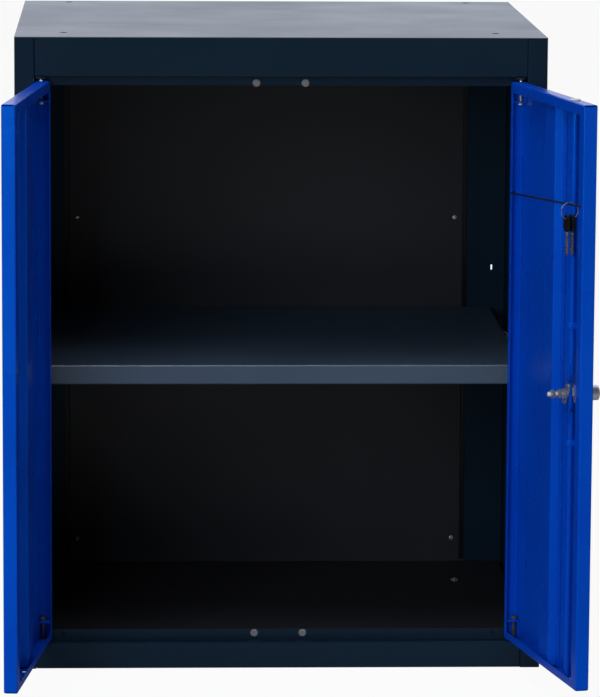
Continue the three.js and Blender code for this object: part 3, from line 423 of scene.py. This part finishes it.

# %% [markdown]
# ## Metals, nylon, rubber and plastic
# The small hardware is zinc-plated steel with a cloudy sheen, and the lock is satin nickel. The lower
# pivot pins get a darker copy of the zinc, which is painted shade. The rods run in milky nylon and the
# pivots in dark nylon, the door buffers are grey rubber, and the key heads black plastic. All of them
# reuse the clouded finish of the paint, with a finer grain.

# %% Hardware finishes
PLATE_DETAIL, PLATE_GRAIN, PLATE_RELIEF = 4, (2600, 2), (0.15, 0.00004)
SKIN_DETAIL, SKIN_GRAIN, SKIN_RELIEF = 3, (1800, 2), (0.2, 0.00006)


def plated(name, dark, light, rough, scale, metal):
    cloud = (scale, PLATE_DETAIL)
    finish, shader = clouded(name, dark, light, rough, cloud, PLATE_GRAIN, PLATE_RELIEF)
    shader.inputs["Metallic"].default_value = metal
    return finish


def moulded(name, dark, light, rough, scale, level):
    cloud = (scale, SKIN_DETAIL)
    finish, shader = clouded(name, dark, light, rough, cloud, SKIN_GRAIN, SKIN_RELIEF)
    shader.inputs["Specular IOR Level"].default_value = level
    return finish


# A darker copy of the zinc for the lower pivot pins: painted shade.
SHADED_PIN_ZINC = plated("shaded_pin_zinc", (0.09, 0.10, 0.12), (0.14, 0.15, 0.17), (0.35, 0.5), 160, 0.6)
DARK_NYLON = moulded("dark_pivot_nylon", (0.010, 0.012, 0.016), (0.018, 0.020, 0.025), (0.4, 0.55), 90, 0.4)
FINISH = {
    "carcass_paint": ANTHRACITE,
    "shelf_paint": SLATE_WITH_FILL,
    "door_paint": BLUE,
    "zinc": plated("bright_zinc", (0.55, 0.57, 0.60), (0.76, 0.78, 0.80), (0.14, 0.26), 160, 0.85),
    "chrome": plated("nickel_plate", (0.74, 0.75, 0.77), (0.86, 0.87, 0.88), (0.32, 0.42), 120, 0.7),
    "nylon": moulded("milky_nylon", (0.60, 0.60, 0.56), (0.72, 0.72, 0.68), (0.4, 0.55), 90, 0.5),
    "rubber": moulded("grey_buffer_rubber", (0.11, 0.117, 0.13), (0.17, 0.178, 0.195), (0.35, 0.5), 200, 0.5),
    "key_plastic": moulded("black_key_plastic", (0.004, 0.004, 0.005), (0.008, 0.008, 0.009),
                           (0.3, 0.45), 150, 0.5),
    "key_steel": plated("key_nickel", (0.40, 0.40, 0.41), (0.55, 0.55, 0.55), (0.2, 0.32), 220, 0.9),
    "cord": moulded("black_cord", (0.006, 0.006, 0.007), (0.014, 0.014, 0.016), (0.8, 0.95), 900, 0.3),
}

# %% [markdown]
# ## Three habits for small hardware
# Turned parts are drawn as half a section and spun about an axis. Flat parts are drawn as an outline,
# filled and extruded. Holes and slots are cut with a Boolean from a second shape that is thrown away.
# Operators act on whatever is selected, so a helper clears the selection before it picks its own.

# %% Picking and drawing
MERGE_REACH = 0.000002


def pick(kind, test):
    bpy.ops.mesh.select_mode(type=kind)
    bpy.ops.mesh.select_all(action="DESELECT")
    mesh = bmesh.from_edit_mesh(bpy.context.object.data)
    for part in {"FACE": mesh.faces, "EDGE": mesh.edges, "VERT": mesh.verts}[kind]:
        if test(part):
            part.select_set(True)
    mesh.select_flush_mode()
    bmesh.update_edit_mesh(bpy.context.object.data)


def draw(name, points):
    """A chain of edges from one point to the next, in edit mode and all selected."""
    bpy.ops.object.select_all(action="DESELECT")
    bpy.ops.mesh.primitive_plane_add(size=MM, location=points[0])
    bpy.context.object.name = name
    bpy.ops.object.transform_apply(location=True, rotation=True, scale=True)
    bpy.ops.object.mode_set(mode="EDIT")
    bpy.ops.mesh.select_mode(type="VERT")
    bpy.ops.mesh.select_all(action="SELECT")
    bpy.ops.mesh.merge(type="CENTER")
    for start, stop in zip(points, points[1:]):
        bpy.ops.mesh.extrude_vertices_move(TRANSFORM_OT_translate={"value": stop - start})
    bpy.ops.mesh.select_all(action="SELECT")
    bpy.ops.mesh.remove_doubles(threshold=MERGE_REACH)
    bpy.ops.mesh.select_all(action="SELECT")
    return bpy.context.object


def close_up():
    bpy.ops.mesh.select_all(action="SELECT")
    bpy.ops.mesh.remove_doubles(threshold=MERGE_REACH)
    bpy.ops.mesh.normals_make_consistent(inside=False)
    bpy.ops.object.mode_set(mode="OBJECT")
    return bpy.context.object


print("points closer than", MERGE_REACH, "m are merged")


# %% Turned and flat pieces
def spun(name, profile, steps=48):
    """A turned piece about Z from (radius, height) points in millimetres."""
    draw(name, [MM * Vector((radius, 0, height)) for radius, height in profile])
    bpy.ops.mesh.spin(steps=steps, angle=2 * math.pi, center=(0, 0, 0), axis=(0, 0, 1))
    return close_up()


def plate(name, outline, low, high):
    """A flat piece: an outline in X and Y, filled and extruded along Z, in millimetres."""
    points = [MM * Vector((x, y, low)) for x, y in outline]
    draw(name, points + points[:1])
    bpy.ops.mesh.edge_face_add()
    bpy.ops.mesh.extrude_region_move(TRANSFORM_OT_translate={"value": (0, 0, MM * (high - low))})
    return close_up()


def bar(name, low, high):
    """A block between two corners in millimetres, used as a cutter."""
    corners = [(low[0], low[1]), (high[0], low[1]), (high[0], high[1]), (low[0], high[1])]
    return plate(name, corners, low[2], high[2])


print("ready to spin and to extrude")

# %% Cutting, softening and copying
BREAK_ANGLE = math.radians(40)


def applied(thing, kind, **settings):
    take(thing)
    step = thing.modifiers.new(kind.lower(), kind)
    for setting, value in settings.items():
        setattr(step, setting, value)
    bpy.ops.object.modifier_apply(modifier=step.name)


def carve(thing, cutter, operation="DIFFERENCE"):
    applied(thing, "BOOLEAN", object=cutter, operation=operation, solver="EXACT")
    bpy.data.objects.remove(cutter, do_unlink=True)


def soften(thing, width, segments=2):
    applied(thing, "BEVEL", width=width * MM, segments=segments, limit_method="ANGLE",
            angle_limit=BREAK_ANGLE, use_clamp_overlap=True)


def turn(thing, axis, degrees):
    take(thing)
    thing.rotation_euler["XYZ".index(axis)] = math.radians(degrees)
    bpy.ops.object.transform_apply(location=True, rotation=True, scale=True)


def copy_of(thing, name):
    twin = thing.copy()
    twin.data = thing.data.copy()
    twin.name = name
    bpy.context.collection.objects.link(twin)
    return twin


print("edges over", round(math.degrees(BREAK_ANGLE)), "degrees are softened")

# %% Placing
SMOOTH_ANGLE = math.radians(35)
SLOT = {part["node"]: part["material_slot"] for part in frame["record"]["subparts"]}
OUTWARD = Matrix.Rotation(math.pi / 2, 4, "X")
OVER = Matrix.Rotation(math.pi, 4, "X")


def at(x, y, z):
    return Matrix.Translation(MM * Vector((x, y, z)))


def coat(thing, finish):
    take(thing)
    bpy.ops.object.shade_smooth_by_angle(angle=SMOOTH_ANGLE)
    thing.data.materials.clear()
    thing.data.materials.append(finish)


def settle(thing, place, body, node, finish=None):
    """A finished piece put in its place, where it stands for a node of the frame."""
    take(thing)
    thing.matrix_world = place
    bpy.ops.object.transform_apply(location=True, rotation=True, scale=True)
    coat(thing, finish or FINISH[SLOT[node]])
    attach(thing, body)
    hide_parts(node)
    if SLOT[node] in GLINTS and finish is None:
        GLINTING.objects.link(thing)
    print(thing.name, "stands for", node, "with", len(thing.data.polygons), "faces")


def add_on(thing, body, slot):
    """A finished piece that stands for no node, already in its place."""
    coat(thing, FINISH[slot])
    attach(thing, body)
    print(thing.name, "added with", len(thing.data.polygons), "faces")


for thing in (cord_line, *cord_knots):
    thing.data.materials.append(FINISH["cord"])
print("finishes for", len(SLOT), "nodes")

# %% [markdown]
# ## The lock knob
# Outside, the right door has a small round knob: a turned handle with a narrower waist, a rounded
# front edge and a keyway in a sunk face. Its spindle runs through the door and is threaded for the
# nuts behind. All of it is one half section, spun about the axis, and the keyway is cut out.

# %% Knob
LOCK_PLACE = door_place("right") @ Matrix.Translation(LOCK) @ OUTWARD


def arc(centre, radius, start, stop, steps):
    turns = [math.radians(start + (stop - start) * step / steps) for step in range(steps + 1)]
    return [(centre[0] + radius * math.cos(t), centre[1] + radius * math.sin(t)) for t in turns]


def thread(start, stop, radius, depth, pitch=1.0):
    ridges = []
    for step in range(int(abs(stop - start) / pitch)):
        height = start + math.copysign(pitch * step, stop - start)
        half = math.copysign(pitch / 2, stop - start)
        ridges += [(radius, height), (radius - depth, height + half)]
    return ridges


knob_profile = [(0, -38.5), (2.2, -38.5), (2.9, -37.8), *thread(-37.6, -12, 2.95, 0.45), (2.95, -11.6),
                (2.95, 2.8), (8.1, 2.8), (8.4, 3.1), (8.4, 9.4), (9.0, 10.2), (9.3, 10.9), (9.3, 12.4),
                (9.05, 12.6), (9.05, 13.0), (9.3, 13.2), *arc((7.1, 23.1), 2.2, 0, 90, 6), (6.5, 25.2),
                (6.2, 24.7), (0, 24.7)]
knob = spun("turned_knob", knob_profile, 64)
keyway = plate("keyway", [*arc((3.6, 0), 0.9, -90, 90, 6), *arc((-3.6, 0), 0.9, 90, 270, 6)], 17.3, 27)
carve(knob, keyway)
settle(knob, LOCK_PLACE, "lock", "lock_knob")

# %% [markdown]
# ## Collar and barrel
# The knob turns in a collar that lies on the door's outer face. Its threaded barrel passes through
# the sheet and the lock plate. The section is a closed loop here, because the part is a tube.

# %% Collar
collar_profile = [(3.3, 2.5), (10.3, 2.5), *arc((10.3, 1.3), 1.2, 80, 0, 5), (11.5, 0.3), (8, 0.3),
                  *thread(-1.2, -9.4, 8, 0.35), (8, -9.6), (7.6, -10), (3.3, -10), (3.3, 2.5)]
collar = spun("lock_collar", collar_profile, 64)
settle(collar, LOCK_PLACE, "right_door", "lock_housing")

# %% [markdown]
# ## Nuts
# A hexagon nut is a six-sided prism whose corners are chamfered on a lathe, which gives the curved
# edges of its flats. The same happens here: the prism is intersected with a spun lens, then bored.

# %% Nuts
CHAMFER = math.radians(30)
BORE_BEVEL = 0.5


def six_sided(corner):
    turns = [side * math.pi / 3 for side in range(6)]
    return [(corner * math.cos(turned), corner * math.sin(turned)) for turned in turns]


def hexagon_nut(name, across, bore, near, thickness):
    corner = across / math.sqrt(3)
    low, high = -near - thickness, -near
    nut = plate(name, six_sided(corner), low, high)
    rim, reach = 0.48 * across, 1.06 * corner
    drop = (reach - rim) * math.tan(CHAMFER)
    lens_profile = [(0, low), (rim, low), (reach, low + drop), (reach, high - drop), (rim, high), (0, high)]
    carve(nut, spun("lens", lens_profile, 46), "INTERSECT")
    mouth = bore + BORE_BEVEL
    bevelled = [(0, low - 1), (mouth, low - 1), (mouth, low), (bore, low + BORE_BEVEL),
                (bore, high - BORE_BEVEL), (mouth, high), (mouth, high + 1), (0, high + 1)]
    carve(nut, spun("bore", bevelled, 32))
    return nut


NUTS = [("lock_nut", "right_door", 22, 8.3, 3.1, 5), ("cam_nut", "lock", 11.5, 3.3, 16.5, 4.8),
        ("spacer_nut", "lock", 10, 3.3, 22, 4.6), ("end_nut", "lock", 9.5, 3.3, 30, 5)]
for node, body, across, bore, near, thickness in NUTS:
    settle(hexagon_nut("chamfered_" + node, across, bore, near, thickness), LOCK_PLACE, body, node)

# %% [markdown]
# ## Lock rods
# Two painted rods run from the lock to the top and the bottom of the door. Each is a round bar with
# a rounded tip, welded to a cranked plate whose hook stands in the cam. Bar and hook are spun, the
# plate is an outline with softened edges, and the three are joined into one object.

# %% Rods
ROD_DEPTH = 9
UPPER_ROD_TIP, LOWER_ROD_TIP = 354.4, 350.4
CRANK_BACK, CRANK_FRONT = -13.5, -11
HOOK_OFFSET = 7.5


def lock_rod(name, tip):
    bar_profile = [(0, 22), (3.1, 22), (3.5, 22.4), (3.5, 80), (3.5, 200),
                   *arc((2.1, tip - 1.4), 1.4, 0, 90, 5), (0, tip)]
    shaft = spun(name, bar_profile, 32)
    shaft.location = MM * Vector((0, ROD_DEPTH, 0))
    crank_outline = [(4.2, -12), (12, -12), (12, 13), (3.5, 22), (3.5, 36), (-3.5, 36), (-3.5, 17.5),
                     (4.2, 8.5)]
    crank = plate("crank", crank_outline, CRANK_BACK, CRANK_FRONT)
    soften(crank, 0.5)
    turn(crank, "X", 90)
    hook = spun("hook", [(0, -16.35), (1.4, -16.35), (1.75, -16), (1.75, -13), (0, -13)], 24)
    turn(hook, "X", 90)
    hook.location = MM * Vector((HOOK_OFFSET, 0, -HOOK_OFFSET))
    take(shaft)
    crank.select_set(True)
    hook.select_set(True)
    bpy.ops.object.join()
    bpy.ops.object.transform_apply(location=True, rotation=True, scale=True)
    return shaft


LOCK_FRAME = door_place("right") @ Matrix.Translation(LOCK)
HALF_TURN = Matrix.Rotation(math.pi, 4, "Y")
settle(lock_rod("upper_rod_bar", UPPER_ROD_TIP), LOCK_FRAME, "upper_rod", "upper_rod")
settle(lock_rod("lower_rod_bar", LOWER_ROD_TIP), LOCK_FRAME @ HALF_TURN, "lower_rod", "lower_rod")

# %% [markdown]
# ## Rod guides and rod bushes
# Each rod slides through a painted saddle on the door skin and through a nylon bush at the door's
# end. The saddle is an arch outline, extruded, softened and bored. The bushes are spun sleeves.

# %% Rod guides
GUIDE_HEIGHTS = {"upper": 83, "lower": -60}
SADDLE_HALF, SADDLE_SEAT = 5.8, 1.3
saddle_outline = [(-SADDLE_HALF, SADDLE_SEAT), (SADDLE_HALF, SADDLE_SEAT),
                  *arc((0, ROD_DEPTH), SADDLE_HALF, 0, 180, 20)]
saddle = plate("upper_rod_saddle", saddle_outline, -4, 4)
soften(saddle, 0.6, 3)
saddle_bore = spun("saddle_bore", [(0, -6), (3.8, -6), (3.8, 6), (0, 6)], 40)
saddle_bore.location = MM * Vector((0, ROD_DEPTH, 0))
carve(saddle, saddle_bore)
lower_saddle = copy_of(saddle, "lower_rod_saddle")
settle(saddle, LOCK_FRAME @ at(0, 0, GUIDE_HEIGHTS["upper"]), "right_door", "upper_rod_guide")
settle(lower_saddle, LOCK_FRAME @ at(0, 0, GUIDE_HEIGHTS["lower"]), "right_door", "lower_rod_guide")

# %% Rod bushes
BUSH_HEIGHT = 352.9
ROD_BORE, ROD_WALL, ROD_FLANGE = 3.8, 1, 6


def sleeve(name, bore, wall, flange, tail, seat, top):
    """A flanged nylon bush about Z, its flange between seat and top."""
    outer = bore + wall
    loop = [(bore, tail), (outer - 0.3, tail), (outer, tail + 0.3), (outer, seat), (flange, seat),
            *arc((flange - 0.5, top - 0.5), 0.5, 0, 90, 4), (bore + 0.4, top), (bore, top - 0.4),
            (bore, tail)]
    return spun(name, loop, 40)


ROD_LINE = LOCK_FRAME @ at(0, ROD_DEPTH, 0)
upper_rod_sleeve = sleeve("upper_rod_sleeve", ROD_BORE, ROD_WALL, ROD_FLANGE, -4, 0.3, 1.9)
settle(upper_rod_sleeve, ROD_LINE @ at(0, 0, BUSH_HEIGHT), "right_door", "upper_rod_bush")
lower_rod_sleeve = sleeve("lower_rod_sleeve", ROD_BORE, ROD_WALL, ROD_FLANGE, 0, 1.3, 2.9)
settle(lower_rod_sleeve, ROD_LINE @ at(0, 0, -BUSH_HEIGHT), "right_door", "lower_rod_bush")

# %% [markdown]
# ## Pivot pins and their bushes
# The doors have no visible hinges. A headed pin at each end of the hinge edge stands in a nylon bush
# under the header or on the ledge. The pin's head rests on a tab inside the pan and has a driver slot.

# %% Pins and pivot bushes
LEDGE, HEADER = 34, 748
LOWER_TIP, UPPER_TIP = 26.8, 755.2
LOWER_PIN, UPPER_PIN = 34.9, 38.3
PIN_BORE, PIN_WALL, PIN_FLANGE, PIN_TAIL = 2.5, 1.1, 7.2, -3.7


def headed_pin(name, length):
    profile = [(0, 0), (1.3, 0), (2.2, 0.9), (2.2, length - 1.2), (2, length - 1), (2, length), (4, length),
               (4, length + 2.8), *arc((2.8, length + 2.8), 1.2, 15, 90, 4), (0, length + 4)]
    pin = spun(name, profile, 32)
    carve(pin, bar("driver_slot", (-6, -0.5, length + 2.9), (6, 0.5, length + 6)))
    return pin


for side in SIGN:
    pivot = PIVOT[side] / MM
    lower_pin = headed_pin(side + "_lower_pivot", LOWER_PIN)
    lower_place = door_place(side) @ at(0, 0, LOWER_TIP)
    # The lower pin takes the darker zinc copy, which is painted shade.
    settle(lower_pin, lower_place, side + "_door", side + "_door_lower_pin", SHADED_PIN_ZINC)
    upper_pin = headed_pin(side + "_upper_pivot", UPPER_PIN)
    upper_place = door_place(side) @ at(0, 0, UPPER_TIP) @ OVER
    settle(upper_pin, upper_place, side + "_door", side + "_door_upper_pin")
    lower_sleeve = sleeve(side + "_lower_sleeve", PIN_BORE, PIN_WALL, PIN_FLANGE, PIN_TAIL, 0.3, 2.1)
    settle(lower_sleeve, at(pivot.x, pivot.y, LEDGE), "carcass", "lower_pivot_bush_" + side, DARK_NYLON)
    upper_sleeve = sleeve(side + "_upper_sleeve", PIN_BORE, PIN_WALL, PIN_FLANGE, PIN_TAIL, 0.3, 2.7)
    under_header = at(pivot.x, pivot.y, HEADER) @ OVER
    settle(upper_sleeve, under_header, "carcass", "upper_pivot_bush_" + side, DARK_NYLON)

# %% [markdown]
# ## Door buffers
# Two soft buffers under the header and two on the sill take the doors when they shut. Each is a low
# rubber dome with a rim and a moulding dimple, spun once and copied to its four places.

# %% Buffers
BUFFER_ACROSS, STOP_FACE = 30.5, 6.7
BUFFER_HEIGHTS = {"upper": 739, "lower": 41.3}
buffer_profile = [(0, 0), (4.6, 0), (5, 0.25), (5, 0.6), *arc((3.2, 0.6), 1.45, 20, 90, 5), (1.5, 2.1),
                  (1.1, 1.9), (0, 1.85)]
dome = spun("buffer", buffer_profile, 40)
for level, height in BUFFER_HEIGHTS.items():
    for side in SIGN:
        buffer = copy_of(dome, level + "_buffer_" + side)
        place = at(SIGN[side] * BUFFER_ACROSS, STOP_FACE, height) @ OUTWARD
        settle(buffer, place, "carcass", level + "_bumper_" + side)
bpy.data.objects.remove(dome, do_unlink=True)

# %% [markdown]
# ## Floor bolt
# One bright button-head bolt holds the floor at the back right. The head is a spun dome, and its
# hexagon socket is cut with a six-sided prism.

# %% Bolt
BOLT_PLACE = at(255, 433.5, 18)
SOCKET_RADIUS = 1.9
bolt_profile = [(0, -12), (2.6, -12), (3, -11.6), *thread(-11.4, -2, 3, 0.4), (3, -1.4), (3, 0.3),
                (5.5, 0.3), (5.8, 0.6), (5.8, 1.2), *arc((2.8, 1.2), 2.1, 40, 90, 5), (0, 3.3)]
button = spun("button_head_bolt", bolt_profile, 48)
carve(button, plate("socket", six_sided(SOCKET_RADIUS), 1.7, 5))
settle(button, BOLT_PLACE, "carcass", "floor_bolt")

# %% [markdown]
# ## Back rivets
# Four blind rivets hold the back panel. Seen from inside, each has a low dome with the sunk end of its
# pulled stem in the middle. One is spun and copied, with its shank ending flush behind the panel.

# %% Rivets
BACK = 571.5
RIVET_ACROSS = 260
RIVET_HEIGHTS = {"upper": 500, "lower": 50}
rivet_profile = [(0, 0), (1.3, 0), (1.6, 0.3), (1.6, 1.5), (3.4, 1.5), (3.4, 1.75),
                 *arc((2.2, 1.75), 1.2, 10, 90, 5), (1.1, 2.98), (0.9, 2.8), (0.85, 2.1), (0, 2.2)]
stem = spun("rivet", rivet_profile, 32)
for level, height in RIVET_HEIGHTS.items():
    for side in SIGN:
        rivet = copy_of(stem, level + "_rivet_" + side)
        place = at(SIGN[side] * RIVET_ACROSS, BACK, height) @ OUTWARD
        settle(rivet, place, "carcass", f"back_rivet_{level}_{side}")
bpy.data.objects.remove(stem, do_unlink=True)

# %% [markdown]
# ## Painted shade strips
# A dark line runs up the back wall beside either rear flange. It is shade, painted by a strip of black
# plastic laid in the step between flange and panel: painted shade. Its section rises from the panel to
# a flat crown beside the flange. It is drawn in plan and extruded upwards.

# %% Painted shade strips
FLANGE_EDGE = 277
STRIP_WIDTH, STRIP_FIT = 6.5, 0.35
STRIP_SEAT, STRIP_SHOULDER, STRIP_CROWN = BACK - 1.25, BACK - 1.9, BACK - 2.2
STRIP_LOW, STRIP_HIGH = 20, 790
for side in SIGN:
    edge = SIGN[side] * FLANGE_EDGE
    inner = edge - SIGN[side] * STRIP_WIDTH
    outer = edge - SIGN[side] * STRIP_FIT
    shoulder = inner + (edge - inner) * 0.12
    crown = inner + (edge - inner) * 0.3
    section = [(inner, STRIP_SEAT), (shoulder, STRIP_SHOULDER), (crown, STRIP_CROWN),
               (outer, STRIP_CROWN), (outer, STRIP_SEAT)]
    strip = plate(side + "_painted_shade_strip", section, STRIP_LOW, STRIP_HIGH)
    # A black strip that stands for shade beside the flange: painted shade.
    add_on(strip, "carcass", "key_plastic")

# %% [markdown]
# ## Keys
# Two flat keys hang on the ring. Each head is black plastic: a plane with its corners rounded by a
# vertex bevel, extruded, rimmed, sunk in the middle and bored for the ring. The steel blade is an
# outline with its cuts, softened, with a groove milled into either side.

# %% Where the keys hang
RING_RADIUS, KEY_APART = 10.3, 6.4
RING_OVER_CORD, KEY_LIFT = 2.3, 0.3
RING_FROM_EDGE = 45
RING_X = FREE_EDGE / MM + RING_FROM_EDGE
RING_Y = CORD_Y / MM
hinge_end, free_end = (end / MM for end in CORD_ENDS)
cord_share = (RING_X - hinge_end.x) / (free_end.x - hinge_end.x)
RING_Z = hinge_end.lerp(free_end, cord_share).z + RING_OVER_CORD - RING_RADIUS
KEY_HANG = RING_Z - math.sqrt(RING_RADIUS ** 2 - (KEY_APART / 2) ** 2) + KEY_LIFT
print("ring centre in mm above the ground:", round(RING_Z, 1))

# %% Key heads
KEY_TOP, KEY_LOW = 5.3, -14.7
KEY_WIDTH, KEY_THICKNESS = 18, 4
TOP_CORNER, LOW_CORNER = 8, 5
KEY_HOLE = 2.2
RIM_ROUND, RIM_WIDTH = 0.7, 1.7
SUNK_SLOPE, SUNK_DEPTH = 0.4, 0.45


def key_head(name):
    bpy.ops.object.select_all(action="DESELECT")
    middle = MM * Vector((0, (KEY_TOP + KEY_LOW) / 2, -KEY_THICKNESS / 2))
    bpy.ops.mesh.primitive_plane_add(size=1, location=middle)
    bpy.context.object.name = name
    bpy.context.object.scale = (MM * KEY_WIDTH, MM * (KEY_TOP - KEY_LOW), 1)
    bpy.ops.object.transform_apply(location=True, rotation=True, scale=True)
    bpy.ops.object.mode_set(mode="EDIT")
    pick("VERT", lambda vert: vert.co.y > 0)
    bpy.ops.mesh.bevel(offset=TOP_CORNER * MM, segments=12, affect="VERTICES")
    pick("VERT", lambda vert: vert.co.y < (KEY_LOW + 0.1) * MM)
    bpy.ops.mesh.bevel(offset=LOW_CORNER * MM, segments=10, affect="VERTICES")
    bpy.ops.mesh.select_all(action="SELECT")
    bpy.ops.mesh.extrude_region_move(TRANSFORM_OT_translate={"value": (0, 0, KEY_THICKNESS * MM)})
    bpy.ops.mesh.select_all(action="SELECT")
    bpy.ops.mesh.normals_make_consistent(inside=False)
    pick("EDGE", lambda edge: edge.calc_face_angle(0) > 1)
    bpy.ops.mesh.bevel(offset=RIM_ROUND * MM, segments=3, affect="EDGES")
    pick("FACE", lambda face: abs(face.normal.z) > 0.99)
    bpy.ops.mesh.inset(thickness=RIM_WIDTH * MM, depth=0)
    bpy.ops.mesh.inset(thickness=SUNK_SLOPE * MM, depth=-SUNK_DEPTH * MM)
    head = close_up()
    carve(head, spun("ring_hole", [(0, -4), (KEY_HOLE, -4), (KEY_HOLE, 4), (0, 4)], 32))
    return head


print("key heads", KEY_WIDTH, "by", KEY_TOP - KEY_LOW, "mm")

# %% Key blades
BLADE_LENGTH = 29.3
BLADE_HALF, SHANK_HALF, SHANK_GAP = 3.5, 3, 0.3
KEY_CUTS = (1, 2, 1.4, 2)
CUT_START, CUT_PITCH, CUT_HALF, CUT_FLAT = 7, 3.75, 1.25, 0.2


def key_blade(name):
    tip = KEY_LOW - BLADE_LENGTH
    root, shoulder, nose = KEY_LOW + 2, KEY_LOW - SHANK_GAP, tip + BLADE_HALF
    outline = [(-SHANK_HALF, root), (-SHANK_HALF, shoulder), (-BLADE_HALF, shoulder), (-BLADE_HALF, nose),
               (0, tip), (BLADE_HALF, nose)]
    for step, depth in enumerate(KEY_CUTS):
        valley = tip + CUT_START + CUT_PITCH * step + CUT_HALF
        cut = BLADE_HALF - depth
        outline += [(BLADE_HALF, valley - CUT_HALF), (cut, valley - CUT_FLAT), (cut, valley + CUT_FLAT),
                    (BLADE_HALF, valley + CUT_HALF)]
    outline += [(BLADE_HALF, shoulder), (SHANK_HALF, shoulder), (SHANK_HALF, root)]
    blade = plate(name, outline, -1, 1)
    soften(blade, 0.15)
    carve(blade, bar("long_groove", (-2.2, tip + 1.5, 0.5), (-0.9, KEY_LOW - 1, 2)))
    carve(blade, bar("short_groove", (-0.3, tip + 1.5, -2), (0.8, KEY_LOW - 1, -0.5)))
    return blade


print("key cuts in mm:", KEY_CUTS)

# %% Hang the keys
for number, side in ((1, -1), (2, 1)):
    hang = door_place("right") @ at(RING_X, RING_Y + side * KEY_APART / 2, KEY_HANG) @ OUTWARD
    settle(key_head(f"key_head_shell_{number}"), hang, f"key_{number}", f"key_head_{number}")
    settle(key_blade(f"key_blade_cut_{number}"), hang, f"key_{number}", f"key_blade_{number}")

# %% [markdown]
# ## Split ring
# The ring is spring wire wound twice, so that a key can be threaded on. A curve makes two turns of a
# shallow screw, gets a round bevel for the wire, and is converted to a mesh with closed ends.

# %% Ring
RING_TURNS, RING_STEPS = 2, 96
RING_SPAN = 1.8
RING_WIRE = 0.44
RING_START = math.radians(40)
coil = []
for step in range(RING_STEPS * RING_TURNS + 1):
    angle = step / RING_STEPS * 2 * math.pi + RING_START
    shift = RING_SPAN * (step / (RING_STEPS * RING_TURNS) - 0.5)
    coil.append(MM * Vector((shift, RING_RADIUS * math.cos(angle), RING_RADIUS * math.sin(angle))))
ring = as_mesh(wire("split_ring_wire", coil, RING_WIRE * MM))
settle(ring, door_place("right") @ at(RING_X, RING_Y, RING_Z), "key_ring", "key_ring")

# %% [markdown]
# ## Finishing the panels that stay
# The folded panels of the frame already have their true shape, as loose triangles. A Weld modifier
# joins them again, and a narrow Bevel breaks the sheet's cut edges so that they catch light. A small
# node group shades the bends smooth, and weighted normals keep the flats flat beside them.

# %% Smooth shading as a modifier
def smooth_bends():
    group = bpy.data.node_groups.new("smooth_bends", "GeometryNodeTree")
    group.interface.new_socket("Geometry", in_out="INPUT", socket_type="NodeSocketGeometry")
    group.interface.new_socket("Geometry", in_out="OUTPUT", socket_type="NodeSocketGeometry")
    arriving = group.nodes.new("NodeGroupInput")
    leaving = group.nodes.new("NodeGroupOutput")
    smooth = group.nodes.new("GeometryNodeSetShadeSmooth")
    group.links.new(arriving.outputs[0], smooth.inputs[0])
    group.links.new(smooth.outputs[0], leaving.inputs[0])
    return group


SMOOTH_BENDS = smooth_bends()
print("node group", SMOOTH_BENDS.name)


# %% Dress the frame
# The floor and the back panel take the lighter coats, whose extra lightness is painted fill light.
INSIDE = {"floor_panel": FLOOR_COAT_WITH_FILL, "back_panel": BACK_COAT_WITH_FILL}
WELD_REACH = 0.02 * MM
EDGE_BREAK = 0.2 * MM


def dress(node):
    thing = NODES[node]
    weld = thing.modifiers.new("join", "WELD")
    weld.merge_threshold = WELD_REACH
    edge = thing.modifiers.new("broken_edge", "BEVEL")
    edge.width = EDGE_BREAK
    edge.segments = 2
    edge.limit_method = "ANGLE"
    edge.angle_limit = BREAK_ANGLE
    edge.use_clamp_overlap = True
    smooth = thing.modifiers.new("smooth_bends", "NODES")
    smooth.node_group = SMOOTH_BENDS
    flats = thing.modifiers.new("true_flats", "WEIGHTED_NORMAL")
    flats.weight = 100
    thing.data.materials.clear()
    thing.data.materials.append(INSIDE.get(node, FINISH[SLOT[node]]))
    if node in FOLDS:
        FOLDED.objects.link(thing)
    if SLOT[node] in GLINTS:
        GLINTING.objects.link(thing)


for node in NODES:
    dress(node)
print("dressed", len(NODES), "nodes")
